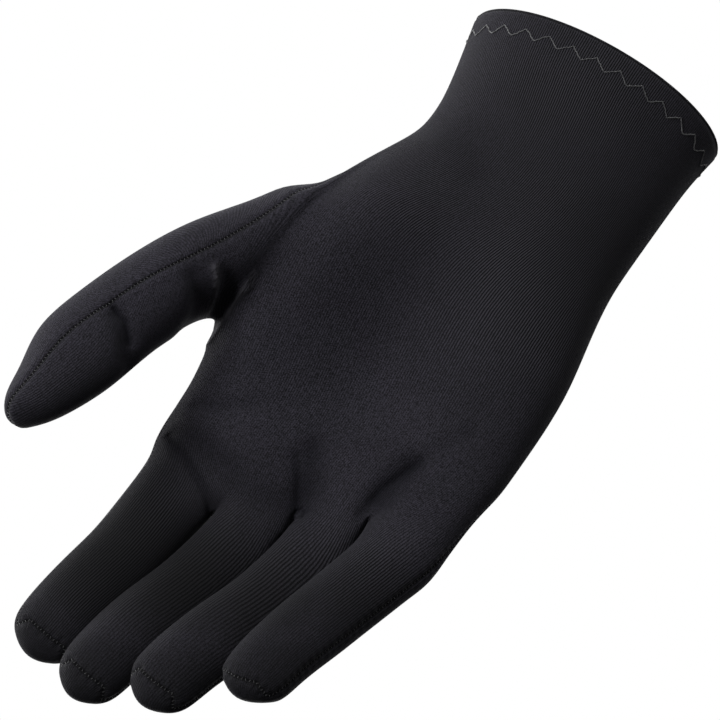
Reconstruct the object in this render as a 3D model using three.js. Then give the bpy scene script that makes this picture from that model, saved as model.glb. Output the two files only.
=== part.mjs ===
// Thin stretch-knit glove liner for the right hand, in the form a hand gives it.
// The cuff opens downwards on z = 0, the fingers point up, the palm faces -Y and the thumb lies on +X.
// A coarse cage of four-sided faces is drawn from the tables below, rounded once, and cut along
// its side seams into a palm panel and a back panel, each one wall thick.
import * as THREE from "three";

// Driving sizes in millimetres
const CUFF_WIDTH = 78;
const CUFF_DEPTH = 58;
const PALM_BREADTH = 88;
const PALM_THICKNESS = 30;
const PALM_LENGTH = 156;
const FINGER_LENGTH = 81;
const THUMB_WIDTH = 22;
const WALL = 1;
const SEAM_GAP = 0.3;
const HEM_HEIGHT = 10;
const HEM_LIP = 1;
const HEM_ROUNDING = 0.3;

// Colours and surface of the black knit
const PANEL_COLOUR = 0x2b2a2d;
const HEM_COLOUR = 0x242327;
const KNIT_ROUGHNESS = 0.85;

// How square the cuff's and the palm's sections are: 2 is an ellipse.
const CUFF_SQUARENESS = 2;
const PALM_SQUARENESS = 2.5;

// Where the palm swells, hollows, arches and slopes from, in shares of its breadth.
const THENAR = { centre: 0.12, spread: 0.2 };
const HOLLOW = { centre: 0.5, spread: 0.2 };
const ARCH_CREST = 0.35;
const SLOPE_CENTRE = 0.17;

// How far the last corners of a finger's and the thumb's cage stand beyond the tip.
const FINGER_OVERSHOOT = 1.25;
const THUMB_OVERSHOOT = 0.6;

// Share of a finger's length over which it bends at a joint, and steps along its middle line.
const JOINT_BLEND = 0.1;
const SPINE_STEPS = 40;

// Faces round the palm, a finger and the thumb. The palm's side seams are at column 0 and SEAM_COLUMN.
const PALM_RING = 20;
const SEAM_COLUMN = 10;
const FINGER_RING = 8;
const THUMB_RING = 12;

// Palm rows from the cuff edge to the finger bases.
// height, set_back: shares of PALM_LENGTH. radial, ulnar: sides, shares of the breadth at the row.
// depth: share of the depth at the row. palm: 0 takes the cuff's sizes and columns, 1 the palm's.
// slope: rise across the row. arch, arch_thumb: how far the little finger and thumb edges come forward.
// thenar, hollow: swell below the thumb and hollow of the palm. These four are shares of PALM_THICKNESS.
// turn: how far the thumb seam is turned to the palm side, as a share of the breadth.
const PALM_ROWS = [
  { height: 0, set_back: 0, radial: 0.504, ulnar: -0.512, depth: 1, palm: 0, slope: 0,
    arch: 0, arch_thumb: 0, thenar: 0, hollow: 0, turn: 0 },
  { height: 0.071, set_back: 0, radial: 0.483, ulnar: -0.48, depth: 0.974, palm: 0, slope: 0,
    arch: 0, arch_thumb: 0, thenar: 0, hollow: 0, turn: 0 },
  { height: 0.167, set_back: 0.003, radial: 0.459, ulnar: -0.46, depth: 0.936, palm: 0.05, slope: 0,
    arch: 0, arch_thumb: 0, thenar: 0, hollow: 0, turn: 0.003 },
  { height: 0.263, set_back: 0.013, radial: 0.468, ulnar: -0.437, depth: 0.92, palm: 0.15, slope: 0,
    arch: 0, arch_thumb: 0.02, thenar: 0, hollow: 0, turn: 0.013 },
  { height: 0.353, set_back: 0.029, radial: 0.574, ulnar: -0.417, depth: 0.966, palm: 0.35, slope: 0,
    arch: 0.03, arch_thumb: 0.06, thenar: 0.1, hollow: 0, turn: 0.03 },
  { height: 0.449, set_back: 0.048, radial: 0.618, ulnar: -0.427, depth: 1.026, palm: 0.55, slope: 0,
    arch: 0.08, arch_thumb: 0.12, thenar: 0.3, hollow: 0.04, turn: 0 },
  { height: 0.551, set_back: 0.071, radial: 0.642, ulnar: -0.441, depth: 1.08, palm: 0.75, slope: 0.02,
    arch: 0.16, arch_thumb: 0.18, thenar: 0.42, hollow: 0.08, turn: 0 },
  { height: 0.654, set_back: 0.093, radial: 0.655, ulnar: -0.431, depth: 1.124, palm: 0.9, slope: 0.05,
    arch: 0.26, arch_thumb: 0.24, thenar: 0.3, hollow: 0.1, turn: 0 },
  { height: 0.768, set_back: 0.117, radial: 0.677, ulnar: -0.412, depth: 1.137, palm: 1, slope: 0.1,
    arch: 0.38, arch_thumb: 0.22, thenar: 0.06, hollow: 0.1, turn: 0 },
  { height: 0.84, set_back: 0.135, radial: 0.66, ulnar: -0.404, depth: 1.067, palm: 1, slope: 0.15,
    arch: 0.5, arch_thumb: 0.12, thenar: 0, hollow: 0.06, turn: 0 },
  { height: 0.92, set_back: 0.154, radial: 0.682, ulnar: -0.37, depth: 1.017, palm: 1, slope: 0.2,
    arch: 0.6, arch_thumb: 0.03, thenar: 0, hollow: 0, turn: 0 },
];

// Columns from the thumb seam to the little finger seam, as shares of the breadth.
const CUFF_COLUMNS = [0, 0.0245, 0.0955, 0.206, 0.345, 0.5, 0.655, 0.794, 0.9045, 0.9755, 1];
const PALM_COLUMNS = [0, 0.055, 0.155, 0.277, 0.42, 0.52, 0.65, 0.735, 0.852, 0.95, 1];

// The thumb leaves the palm between these two rows, through two faces round the thumb seam.
const THUMB_FIRST_ROW = 4;
const THUMB_LAST_ROW = 8;

// Webs between the fingers, each with the palm column in front of it.
// x, depth: shares of PALM_BREADTH and PALM_THICKNESS. height, set_back, drop: shares of PALM_LENGTH.
const WEBS = [
  { name: "index_middle", column: 3, x: 0.375, height: 1.058, set_back: 0.163, depth: 0.7, drop: 0.03 },
  { name: "middle_ring", column: 5, x: 0.144, height: 0.996, set_back: 0.141, depth: 0.7, drop: 0.03 },
  { name: "ring_little", column: 7, x: -0.057, height: 0.961, set_back: 0.09, depth: 0.7, drop: 0.03 },
];

// Fingers. x, width, thick: shares of PALM_BREADTH. height, set_back: shares of PALM_LENGTH.
// length: share of FINGER_LENGTH. bones: how the length is shared between the three bones.
// splay, pitch: lean of each bone to the thumb side and to the back. roll: turn of the pad to the thumb.
// seam_drop: how far the tip seam drops on the pad side, against the drop in the section table.
const FINGERS = [
  { name: "index", x: 0.51, height: 1.013, set_back: 0.192, width: 0.264, thick: 0.208, length: 0.878,
    bones: [0.41, 0.3, 0.29], splay: [8.7, 17.2, 8.6], pitch: [12, 4, -5], roll: -6, seam_drop: 0.8 },
  { name: "middle", x: 0.232, height: 1.03, set_back: 0.16, width: 0.25, thick: 0.202, length: 1.0,
    bones: [0.355, 0.29, 0.355], splay: [15, 22.7, 12], pitch: [5, -3, -10], roll: 0, seam_drop: 0.2 },
  { name: "ring", x: -0.004, height: 1.015, set_back: 0.105, width: 0.256, thick: 0.196, length: 1.012,
    bones: [0.36, 0.33, 0.31], splay: [15.5, 23.4, 14], pitch: [-1, -8, -13], roll: 8, seam_drop: -0.2 },
  { name: "little", x: -0.222, height: 0.981, set_back: 0.038, width: 0.249, thick: 0.196, length: 0.945,
    bones: [0.38, 0.35, 0.27], splay: [18.5, 18, 10], pitch: [-6, -11, -14], roll: 32, seam_drop: -2.2 },
];

// Finger sections from base to tip. along: share of the finger's length.
// width, thick: shares of the finger's own. tilt: how far the pad side of the section drops.
const FINGER_SECTIONS = [
  { name: "base", along: 0, width: 1.06, thick: 1.02, tilt: 0 },
  { name: "crease", along: 0.12, width: 1.01, thick: 1.0, tilt: 0 },
  { name: "first bone", along: 0.26, width: 1.0, thick: 1.0, tilt: 0 },
  { name: "under knuckle", along: 0.4, width: 0.985, thick: 0.98, tilt: 0 },
  { name: "knuckle", along: 0.52, width: 0.99, thick: 0.99, tilt: 0 },
  { name: "second bone", along: 0.64, width: 0.96, thick: 0.95, tilt: 0 },
  { name: "last joint", along: 0.76, width: 0.94, thick: 0.93, tilt: 0.005 },
  { name: "pad", along: 0.86, width: 0.92, thick: 0.88, tilt: 0.012 },
  { name: "tip seam", along: 0.935, width: 0.81, thick: 0.7, tilt: 0.022 },
];

// Thumb sections from the palm to the tip. x: share of PALM_BREADTH. height: share of PALM_LENGTH.
// forward, thick, width: shares of THUMB_WIDTH. heading: lean of the section's axis to the thumb side.
// roll: how far the thumb seam is turned to the palm side.
const THUMB_SECTIONS = [
  { name: "ball", x: 0.69, height: 0.621, forward: -0.14, width: 2.48, thick: 1.48,
    heading: 97, roll: 66 },
  { name: "ball end", x: 0.783, height: 0.706, forward: 0.05, width: 1.92, thick: 1.34,
    heading: 87, roll: 82 },
  { name: "first joint", x: 0.852, height: 0.773, forward: 0.18, width: 1.57, thick: 1.22,
    heading: 66, roll: 84 },
  { name: "first bone", x: 0.922, height: 0.859, forward: 0.32, width: 1.26, thick: 1.12,
    heading: 41, roll: 77 },
  { name: "under last joint", x: 0.98, height: 0.953, forward: 0.41, width: 1.22, thick: 1.07,
    heading: 20, roll: 74 },
  { name: "last joint", x: 1.024, height: 1.036, forward: 0.5, width: 1.25, thick: 1.03,
    heading: 12, roll: 67 },
  { name: "pad", x: 1.046, height: 1.12, forward: 0.55, width: 0.88, thick: 0.88,
    heading: 15, roll: 59 },
  { name: "tip ring", x: 1.075, height: 1.168, forward: 0.57, width: 0.67, thick: 0.66,
    heading: 18, roll: 57 },
];
const THUMB_TIP = { x: 1.102, height: 1.209, forward: 0.59, spread: 0.28 };

// Creases and folds drawn in the front view: from, to as [share of PALM_BREADTH, share of PALM_LENGTH].
// width: half width, depth: how far the cloth goes in. Both shares of PALM_THICKNESS.
const FOLDS = [
  { name: "index base", from: [0.4, 1.0], to: [0.65, 0.965], width: 0.13, depth: 0.04 },
  { name: "middle base", from: [0.15, 1.01], to: [0.34, 1.02], width: 0.13, depth: 0.03 },
  { name: "middle and ring groove", from: [0.15, 0.97], to: [0.2, 0.9], width: 0.15, depth: 0.06 },
  { name: "ring and little groove", from: [-0.06, 0.93], to: [-0.09, 0.85], width: 0.15, depth: 0.06 },
  { name: "thumb web pocket", from: [0.7, 0.79], to: [0.675, 0.705], width: 0.15, depth: 0.1 },
  { name: "thumb joint", from: [0.87, 0.99], to: [0.97, 0.945], width: 0.12, depth: 0.05 },
];

const FORWARD = new THREE.Vector3(0, -1, 0);
const radians = THREE.MathUtils.degToRad;
const mix = THREE.MathUtils.lerp;

// How far a ring of this many corners stands outside the rounded surface it makes.
function proud(corners) {
  return 6 / (4 + 2 * Math.cos((2 * Math.PI) / corners));
}

// Point of one palm row at a column counted round from the thumb seam, over the palm side first.
function palmPoint(row, column) {
  const onFront = column <= SEAM_COLUMN;
  const across = onFront ? column : PALM_RING - column;
  const share = across === 0 ? row.turn : mix(CUFF_COLUMNS[across], PALM_COLUMNS[across], row.palm);
  const breadth = mix(CUFF_WIDTH, PALM_BREADTH, row.palm) * proud(PALM_RING);
  const depth = row.depth * mix(CUFF_DEPTH, PALM_THICKNESS, row.palm) * proud(PALM_RING);
  const squareness = mix(CUFF_SQUARENESS, PALM_SQUARENESS, row.palm);
  const swell = Math.pow(Math.max(0, 1 - Math.pow(Math.abs(2 * share - 1), squareness)), 1 / squareness);
  const x = mix(row.radial, row.ulnar, share) * breadth;
  let y = row.set_back * PALM_LENGTH + ((onFront ? -1 : 1) * swell * depth) / 2;
  y -= PALM_THICKNESS * archAt(row, share);
  if (onFront) {
    y -= PALM_THICKNESS * row.thenar * bump(share, THENAR) * Math.min(1, swell * 2);
    y += PALM_THICKNESS * row.hollow * bump(share, HOLLOW);
  }
  const rise = row.slope * (x - SLOPE_CENTRE * PALM_BREADTH);
  const z = HEM_LIP + SEAM_GAP + row.height * PALM_LENGTH + rise;
  return new THREE.Vector3(x, y, z);
}

// Height of a rounded swelling at a share of the breadth, 1 at its centre.
function bump(share, { centre, spread }) {
  return Math.exp(-Math.pow((share - centre) / spread, 2));
}

// Forward curve of the palm's two edges, 0 along the line of the middle finger.
function archAt(row, share) {
  if (share < ARCH_CREST) return row.arch_thumb * Math.pow((ARCH_CREST - share) / ARCH_CREST, 2);
  return row.arch * Math.pow((share - ARCH_CREST) / (1 - ARCH_CREST), 1.5);
}

// Direction with a lean to the thumb side and a lean to the back, both in degrees.
function leaning(splay, pitch) {
  const q = radians(splay);
  const p = radians(pitch);
  return new THREE.Vector3(Math.sin(q), Math.cos(q) * Math.sin(p), Math.cos(q) * Math.cos(p));
}

// Lean of a finger at a share of its length, blended over the joints between its three bones.
function fingerLean(finger, along, values) {
  let lean = values[0];
  let joint = 0;
  for (let bone = 1; bone < values.length; bone++) {
    joint += finger.bones[bone - 1];
    const turned = THREE.MathUtils.smoothstep(along, joint - JOINT_BLEND, joint + JOINT_BLEND);
    lean = mix(lean, values[bone], turned);
  }
  return lean;
}

// Middle line of a finger from base to tip: a point and a direction at a share of its length.
function fingerSpine(finger, along) {
  const length = finger.length * FINGER_LENGTH;
  const point = new THREE.Vector3(
    finger.x * PALM_BREADTH, finger.set_back * PALM_LENGTH, finger.height * PALM_LENGTH,
  );
  for (let i = 0; i < SPINE_STEPS; i++) {
    const at = ((i + 0.5) / SPINE_STEPS) * along;
    const step = leaning(fingerLean(finger, at, finger.splay), fingerLean(finger, at, finger.pitch));
    point.addScaledVector(step, (along * length) / SPINE_STEPS);
  }
  const direction = leaning(fingerLean(finger, along, finger.splay), fingerLean(finger, along, finger.pitch));
  return { point, direction };
}

// Corner of a finger's section, counted from the thumb side over the pad.
function fingerPoint(finger, section, corner) {
  const { point, direction } = fingerSpine(finger, section.along);
  const side = new THREE.Vector3(1, 0, 0).addScaledVector(direction, -direction.x).normalize();
  const pad = new THREE.Vector3().crossVectors(side, direction);
  const angle = (2 * Math.PI * corner) / FINGER_RING;
  const turned = angle - radians(finger.roll);
  const width = finger.width * PALM_BREADTH * section.width * proud(FINGER_RING);
  const thick = finger.thick * PALM_BREADTH * section.thick * proud(FINGER_RING);
  const drop = -section.tilt * finger.seam_drop * finger.length * FINGER_LENGTH * Math.sin(angle);
  return point
    .addScaledVector(side, (Math.cos(turned) * width) / 2)
    .addScaledVector(pad, (Math.sin(turned) * thick) / 2)
    .addScaledVector(direction, drop);
}

// Corner of a thumb section, counted from the thumb seam over the pad.
function thumbPoint(section, corner) {
  const heading = radians(section.heading);
  const outer = new THREE.Vector3(Math.cos(heading), 0, -Math.sin(heading));
  const angle = (2 * Math.PI * corner) / THUMB_RING + radians(section.roll);
  return thumbCentre(section)
    .addScaledVector(outer, (Math.cos(angle) * section.width * THUMB_WIDTH * proud(THUMB_RING)) / 2)
    .addScaledVector(FORWARD, (Math.sin(angle) * section.thick * THUMB_WIDTH * proud(THUMB_RING)) / 2);
}

function thumbCentre(section) {
  return new THREE.Vector3(
    section.x * PALM_BREADTH, -section.forward * THUMB_WIDTH, section.height * PALM_LENGTH,
  );
}

// Cage of corner points and four-sided faces, each face marked with the panel it belongs to.
class Cage {
  constructor() {
    this.points = [];
    this.faces = [];
  }

  point(position) {
    this.points.push(position);
    return this.points.length - 1;
  }

  face(panel, a, b, c, d) {
    this.faces.push({ panel, corners: [a, b, c, d] });
  }

  // Joins two rings of equal length by a row of faces. panelAt names the panel of each column.
  row(lower, upper, panelAt) {
    const count = lower.length;
    for (let i = 0; i < count; i++) {
      const next = (i + 1) % count;
      this.face(panelAt(i), lower[i], upper[i], upper[next], lower[next]);
    }
  }
}

// Half of a ring that lies on the palm side, the rest on the back.
function halfRing(count) {
  return (i) => (i < count / 2 ? "palm_panel" : "back_panel");
}

// Whole cage of the liner.
function buildCage() {
  const cage = new Cage();
  const rows = PALM_ROWS.map((row, r) => palmRow(cage, row, r));
  const bases = fingerBases(cage);
  rows.push(bases.ring);
  for (let r = 0; r + 1 < rows.length; r++) {
    const inThumb = r >= THUMB_FIRST_ROW && r < THUMB_LAST_ROW;
    for (let c = 0; c < PALM_RING; c++) {
      if (inThumb && (c === 0 || c === PALM_RING - 1)) continue;
      const next = (c + 1) % PALM_RING;
      cage.face(halfRing(PALM_RING)(c), rows[r][c], rows[r + 1][c], rows[r + 1][next], rows[r][next]);
    }
  }
  FINGERS.forEach((finger, f) => addFinger(cage, finger, bases.rings[f]));
  addThumb(cage, thumbHole(rows));
  return cage;
}

// Points of one palm row. The thumb seam column is open where the thumb leaves the palm.
function palmRow(cage, row, r) {
  const open = r > THUMB_FIRST_ROW && r < THUMB_LAST_ROW;
  return Array.from({ length: PALM_RING }, (_, c) =>
    open && c === 0 ? null : cage.point(palmPoint(row, c)),
  );
}

// First ring of every finger, and the palm's top ring that they share.
function fingerBases(cage) {
  const ring = new Array(PALM_RING).fill(null);
  const webs = WEBS.map((web) => {
    const x = web.x * PALM_BREADTH;
    const y = web.set_back * PALM_LENGTH;
    const z = web.height * PALM_LENGTH;
    const reach = (web.depth * PALM_THICKNESS) / 2;
    const low = z - web.drop * PALM_LENGTH;
    const front = cage.point(new THREE.Vector3(x, y - reach, low));
    const top = cage.point(new THREE.Vector3(x, y, z));
    const back = cage.point(new THREE.Vector3(x, y + reach, low));
    ring[web.column] = front;
    ring[PALM_RING - web.column] = back;
    return { front, top, back };
  });
  const rings = FINGERS.map((finger, f) => {
    const before = webs[f - 1];
    const after = webs[f];
    const firstColumn = before ? WEBS[f - 1].column : 0;
    const own = (corner) => cage.point(fingerPoint(finger, FINGER_SECTIONS[0], corner));
    const thumbSide = before ? before.top : own(0);
    const thumbFront = before ? before.front : own(1);
    const pad = own(2);
    const farFront = after ? after.front : own(3);
    const farSide = after ? after.top : own(4);
    const farBack = after ? after.back : own(5);
    const nail = own(6);
    const thumbBack = before ? before.back : own(7);
    const padColumn = before ? firstColumn + 1 : 2;
    ring[padColumn] = pad;
    ring[PALM_RING - padColumn] = nail;
    if (!before) {
      ring[0] = thumbSide;
      ring[1] = thumbFront;
      ring[PALM_RING - 1] = thumbBack;
    }
    if (!after) {
      ring[SEAM_COLUMN - 1] = farFront;
      ring[SEAM_COLUMN] = farSide;
      ring[SEAM_COLUMN + 1] = farBack;
    }
    return [thumbSide, thumbFront, pad, farFront, farSide, farBack, nail, thumbBack];
  });
  return { ring, rings };
}

// Rows of one finger and its cap. The cap belongs to the back panel, so the seam crosses the pad.
function addFinger(cage, finger, base) {
  let lower = base;
  for (const section of FINGER_SECTIONS.slice(1)) {
    const upper = Array.from({ length: FINGER_RING }, (_, i) => cage.point(fingerPoint(finger, section, i)));
    cage.row(lower, upper, halfRing(FINGER_RING));
    lower = upper;
  }
  const last = FINGER_SECTIONS[FINGER_SECTIONS.length - 1];
  const centre = fingerSpine(finger, last.along).point;
  const tip = fingerSpine(finger, 1).point;
  const peak = cage.point(tip.clone().addScaledVector(tip.clone().sub(centre), FINGER_OVERSHOOT));
  for (let i = 1; i < FINGER_RING; i += 2) {
    const before = lower[i - 1];
    const after = lower[(i + 1) % FINGER_RING];
    cage.face("back_panel", before, peak, after, lower[i]);
  }
}

// Edge of the opening where the thumb leaves the palm, from the seam below it over the palm side.
function thumbHole(rows) {
  const hole = [rows[THUMB_FIRST_ROW][0]];
  for (let r = THUMB_FIRST_ROW; r <= THUMB_LAST_ROW; r++) hole.push(rows[r][1]);
  hole.push(rows[THUMB_LAST_ROW][0]);
  for (let r = THUMB_LAST_ROW; r >= THUMB_FIRST_ROW; r--) hole.push(rows[r][PALM_RING - 1]);
  return hole;
}

// Rows of the thumb and its cap, which the seam crosses from one side to the other.
function addThumb(cage, hole) {
  let lower = hole;
  for (const section of THUMB_SECTIONS) {
    const upper = Array.from({ length: THUMB_RING }, (_, i) => cage.point(thumbPoint(section, i)));
    cage.row(lower, upper, halfRing(THUMB_RING));
    lower = upper;
  }
  const last = THUMB_SECTIONS[THUMB_SECTIONS.length - 1];
  const centre = thumbCentre(last);
  const tip = thumbCentre(THUMB_TIP);
  const side = cage.points[lower[0]].clone().sub(cage.points[lower[THUMB_RING / 2]]).normalize();
  const ridge = [1, 0, -1].map((s) => {
    const lift = tip.clone().sub(centre).multiplyScalar(1 + (s === 0 ? THUMB_OVERSHOOT : THUMB_OVERSHOOT / 2));
    return cage.point(centre.clone().add(lift).addScaledVector(side, s * THUMB_TIP.spread * THUMB_WIDTH));
  });
  const middle = [lower[0], ...ridge, lower[THUMB_RING / 2]];
  for (let i = 0; i + 1 < middle.length; i++) {
    const front = [lower[i + 1], lower[i + 2]];
    const back = [lower[(THUMB_RING - 1 - i) % THUMB_RING], lower[(THUMB_RING - 2 - i) % THUMB_RING]];
    cage.face("palm_panel", middle[i], middle[i + 1], front[1], front[0]);
    cage.face("back_panel", back[0], back[1], middle[i + 1], middle[i]);
  }
}

// Edges of a mesh of four-sided faces, with the faces on either side.
function edgesOf(mesh) {
  const edges = new Map();
  mesh.faces.forEach((face, f) => {
    face.corners.forEach((a, i) => {
      const b = face.corners[(i + 1) % 4];
      const key = a < b ? `${a},${b}` : `${b},${a}`;
      if (!edges.has(key)) edges.set(key, { ends: [a, b], faces: [] });
      edges.get(key).faces.push(f);
    });
  });
  return edges;
}

function average(points) {
  return points.reduce((sum, p) => sum.add(p), new THREE.Vector3()).divideScalar(points.length);
}

// Faces and edges round every point of a mesh.
function aroundPoints(mesh, edges) {
  const around = mesh.points.map(() => ({ faces: [], edges: [] }));
  mesh.faces.forEach((face, f) => face.corners.forEach((v) => around[v].faces.push(f)));
  for (const edge of edges.values()) edge.ends.forEach((v) => around[v].edges.push(edge));
  return around;
}

// Divides every face of a cage into four by the Catmull-Clark rules and rounds its points.
function subdivide(mesh) {
  const edges = edgesOf(mesh);
  const around = aroundPoints(mesh, edges);
  const refined = new Cage();
  const centres = mesh.faces.map((face) => average(face.corners.map((v) => mesh.points[v])));
  mesh.points.forEach((p, v) => {
    const rim = around[v].edges.filter((edge) => edge.faces.length === 1);
    if (rim.length) {
      const ends = rim.map((edge) => mesh.points[edge.ends[0] === v ? edge.ends[1] : edge.ends[0]]);
      refined.point(average([ends[0], ends[1], p, p, p, p, p, p]));
      return;
    }
    const n = around[v].faces.length;
    const faceMean = average(around[v].faces.map((f) => centres[f]));
    const edgeMean = average(around[v].edges.flatMap((edge) => edge.ends.map((e) => mesh.points[e])));
    refined.point(
      faceMean.addScaledVector(edgeMean, 2).addScaledVector(p, n - 3).divideScalar(n),
    );
  });
  const centreIndex = centres.map((p) => refined.point(p));
  const edgeIndex = new Map();
  for (const [key, edge] of edges) {
    const parts = edge.ends.map((v) => mesh.points[v]);
    if (edge.faces.length === 2) parts.push(...edge.faces.map((f) => centres[f]));
    edgeIndex.set(key, refined.point(average(parts)));
  }
  mesh.faces.forEach((face, f) => {
    face.corners.forEach((v, i) => {
      const next = face.corners[(i + 1) % 4];
      const last = face.corners[(i + 3) % 4];
      const forward = edgeIndex.get(v < next ? `${v},${next}` : `${next},${v}`);
      const backward = edgeIndex.get(v < last ? `${v},${last}` : `${last},${v}`);
      refined.face(face.panel, v, forward, centreIndex[f], backward);
    });
  });
  return refined;
}

// Moves every point of a mesh to where endless rounding would bring it.
function settle(mesh) {
  const edges = edgesOf(mesh);
  const around = aroundPoints(mesh, edges);
  const settled = mesh.points.map((p, v) => {
    const rim = around[v].edges.filter((edge) => edge.faces.length === 1);
    if (rim.length) {
      const ends = rim.map((edge) => mesh.points[edge.ends[0] === v ? edge.ends[1] : edge.ends[0]]);
      return average([ends[0], ends[1], p, p, p, p]);
    }
    const n = around[v].faces.length;
    const sum = p.clone().multiplyScalar(n * n);
    for (const edge of around[v].edges) {
      sum.addScaledVector(mesh.points[edge.ends[0] === v ? edge.ends[1] : edge.ends[0]], 4);
    }
    for (const f of around[v].faces) {
      const corners = mesh.faces[f].corners;
      sum.add(mesh.points[corners[(corners.indexOf(v) + 2) % 4]]);
    }
    return sum.divideScalar(n * (n + 5));
  });
  return { points: settled, faces: mesh.faces };
}

// Outward direction at every point, the mean of the faces round it.
function outwardOf(points, faces) {
  const outward = points.map(() => new THREE.Vector3());
  for (const { corners } of faces) {
    const [a, b, c, d] = corners.map((v) => points[v]);
    const normal = new THREE.Vector3().crossVectors(b.clone().sub(d), c.clone().sub(a));
    corners.forEach((v) => outward[v].add(normal));
  }
  return outward.map((n) => n.normalize());
}

// Presses the folds into the palm side.
function pressFolds(mesh) {
  const outward = outwardOf(mesh.points, mesh.faces);
  mesh.points.forEach((p, v) => {
    if (outward[v].y > 0) return;
    const flat = new THREE.Vector2(p.x, p.z);
    let inwards = 0;
    for (const fold of FOLDS) {
      const from = new THREE.Vector2(fold.from[0] * PALM_BREADTH, fold.from[1] * PALM_LENGTH);
      const to = new THREE.Vector2(fold.to[0] * PALM_BREADTH, fold.to[1] * PALM_LENGTH);
      const run = to.clone().sub(from);
      const share = THREE.MathUtils.clamp(flat.clone().sub(from).dot(run) / run.lengthSq(), 0, 1);
      const away = flat.distanceTo(from.addScaledVector(run, share)) / (fold.width * PALM_THICKNESS);
      inwards += fold.depth * PALM_THICKNESS * Math.exp(-away * away);
    }
    p.addScaledVector(outward[v], -inwards);
  });
}

// Draws a panel's edge points back from the seam by half the seam gap, along the cloth.
function trimmedOuter(mesh, faces, outward) {
  const outer = new Map();
  const rims = rimOf(faces);
  const inside = new Map();
  for (const { corners } of faces) {
    const centre = average(corners.map((v) => mesh.points[v]));
    corners.forEach((v) => {
      if (!inside.has(v)) inside.set(v, []);
      inside.get(v).push(centre);
    });
  }
  const seamPoints = new Set(mesh.seam);
  for (const v of inside.keys()) {
    const p = mesh.points[v].clone();
    if (seamPoints.has(v)) {
      const run = mesh.points[rims.next.get(v)].clone().sub(mesh.points[rims.before.get(v)]).normalize();
      const away = average(inside.get(v)).sub(p);
      away.addScaledVector(outward[v], -away.dot(outward[v]));
      away.addScaledVector(run, -away.dot(run)).normalize();
      p.addScaledVector(away, SEAM_GAP / 2);
    }
    outer.set(v, p);
  }
  return outer;
}

// Edge of a set of faces as the next and the previous point of each point on it.
function rimOf(faces) {
  const directed = new Set();
  for (const { corners } of faces) {
    corners.forEach((a, i) => directed.add(`${a},${corners[(i + 1) % 4]}`));
  }
  const next = new Map();
  const before = new Map();
  for (const key of directed) {
    const [a, b] = key.split(",").map(Number);
    if (directed.has(`${b},${a}`)) continue;
    next.set(a, b);
    before.set(b, a);
  }
  return { next, before };
}

// Points shared by the two panels.
function seamPointsOf(mesh) {
  const panels = mesh.points.map(() => new Set());
  for (const face of mesh.faces) face.corners.forEach((v) => panels[v].add(face.panel));
  return mesh.points.map((_, v) => v).filter((v) => panels[v].size > 1);
}

// Triangles of a quad list as one flat array of corner numbers, each quad split on its shorter diagonal.
function trianglesOf(points, quads) {
  return quads.flatMap(([a, b, c, d]) =>
    points[a].distanceTo(points[c]) < points[b].distanceTo(points[d]) ? [a, b, c, a, c, d] : [a, b, d, b, c, d],
  );
}

// Closed solid from a list of points and triangles.
function solid(points, triangles) {
  const geometry = new THREE.BufferGeometry();
  const numbers = points.flatMap((p) => [p.x, p.y, p.z]);
  geometry.setAttribute("position", new THREE.Float32BufferAttribute(numbers, 3));
  geometry.setIndex(triangles);
  geometry.computeVertexNormals();
  return geometry;
}

// One panel: its outer face, the same face one wall further in, and the edges between them.
function panelSolid(mesh, panel) {
  const outward = outwardOf(mesh.points, mesh.faces);
  const faces = mesh.faces.filter((face) => face.panel === panel);
  const outer = trimmedOuter(mesh, faces, outward);
  const order = [...outer.keys()];
  const number = new Map(order.map((v, i) => [v, i]));
  const inner = order.map((v) => innerPoint(mesh, outer.get(v), outward[v], v));
  const points = [...order.map((v) => outer.get(v)), ...inner];
  const count = order.length;
  const quads = faces.map((face) => face.corners.map((v) => number.get(v)));
  const insides = quads.map(([a, b, c, d]) => [d + count, c + count, b + count, a + count]);
  const edges = [...rimOf(faces).next].map(([a, b]) => {
    const [from, to] = [number.get(a), number.get(b)];
    return [to, from, from + count, to + count];
  });
  return solid(points, trianglesOf(points, [...quads, ...insides, ...edges]));
}

// Point one wall inside the outer face. Along the cuff edge it stays level.
function innerPoint(mesh, outerPoint, outward, v) {
  const direction = outward.clone();
  if (mesh.cuffEdge.has(v)) direction.setZ(0).normalize();
  return outerPoint.clone().addScaledVector(direction, -WALL);
}

// Place of a point of the cuff edge once it is brought up to a height, as the cuff narrows.
function narrowed(point, z) {
  const [first, second] = PALM_ROWS;
  const up = (z - HEM_LIP - SEAM_GAP) / (second.height * PALM_LENGTH);
  const share = (point.x / CUFF_WIDTH - first.ulnar) / (first.radial - first.ulnar);
  const ulnar = mix(first.ulnar, second.ulnar, up);
  const radial = mix(first.radial, second.radial, up);
  const depth = mix(first.depth, second.depth, up) / first.depth;
  return new THREE.Vector3(mix(ulnar, radial, share) * CUFF_WIDTH, point.y * depth, z);
}

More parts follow.
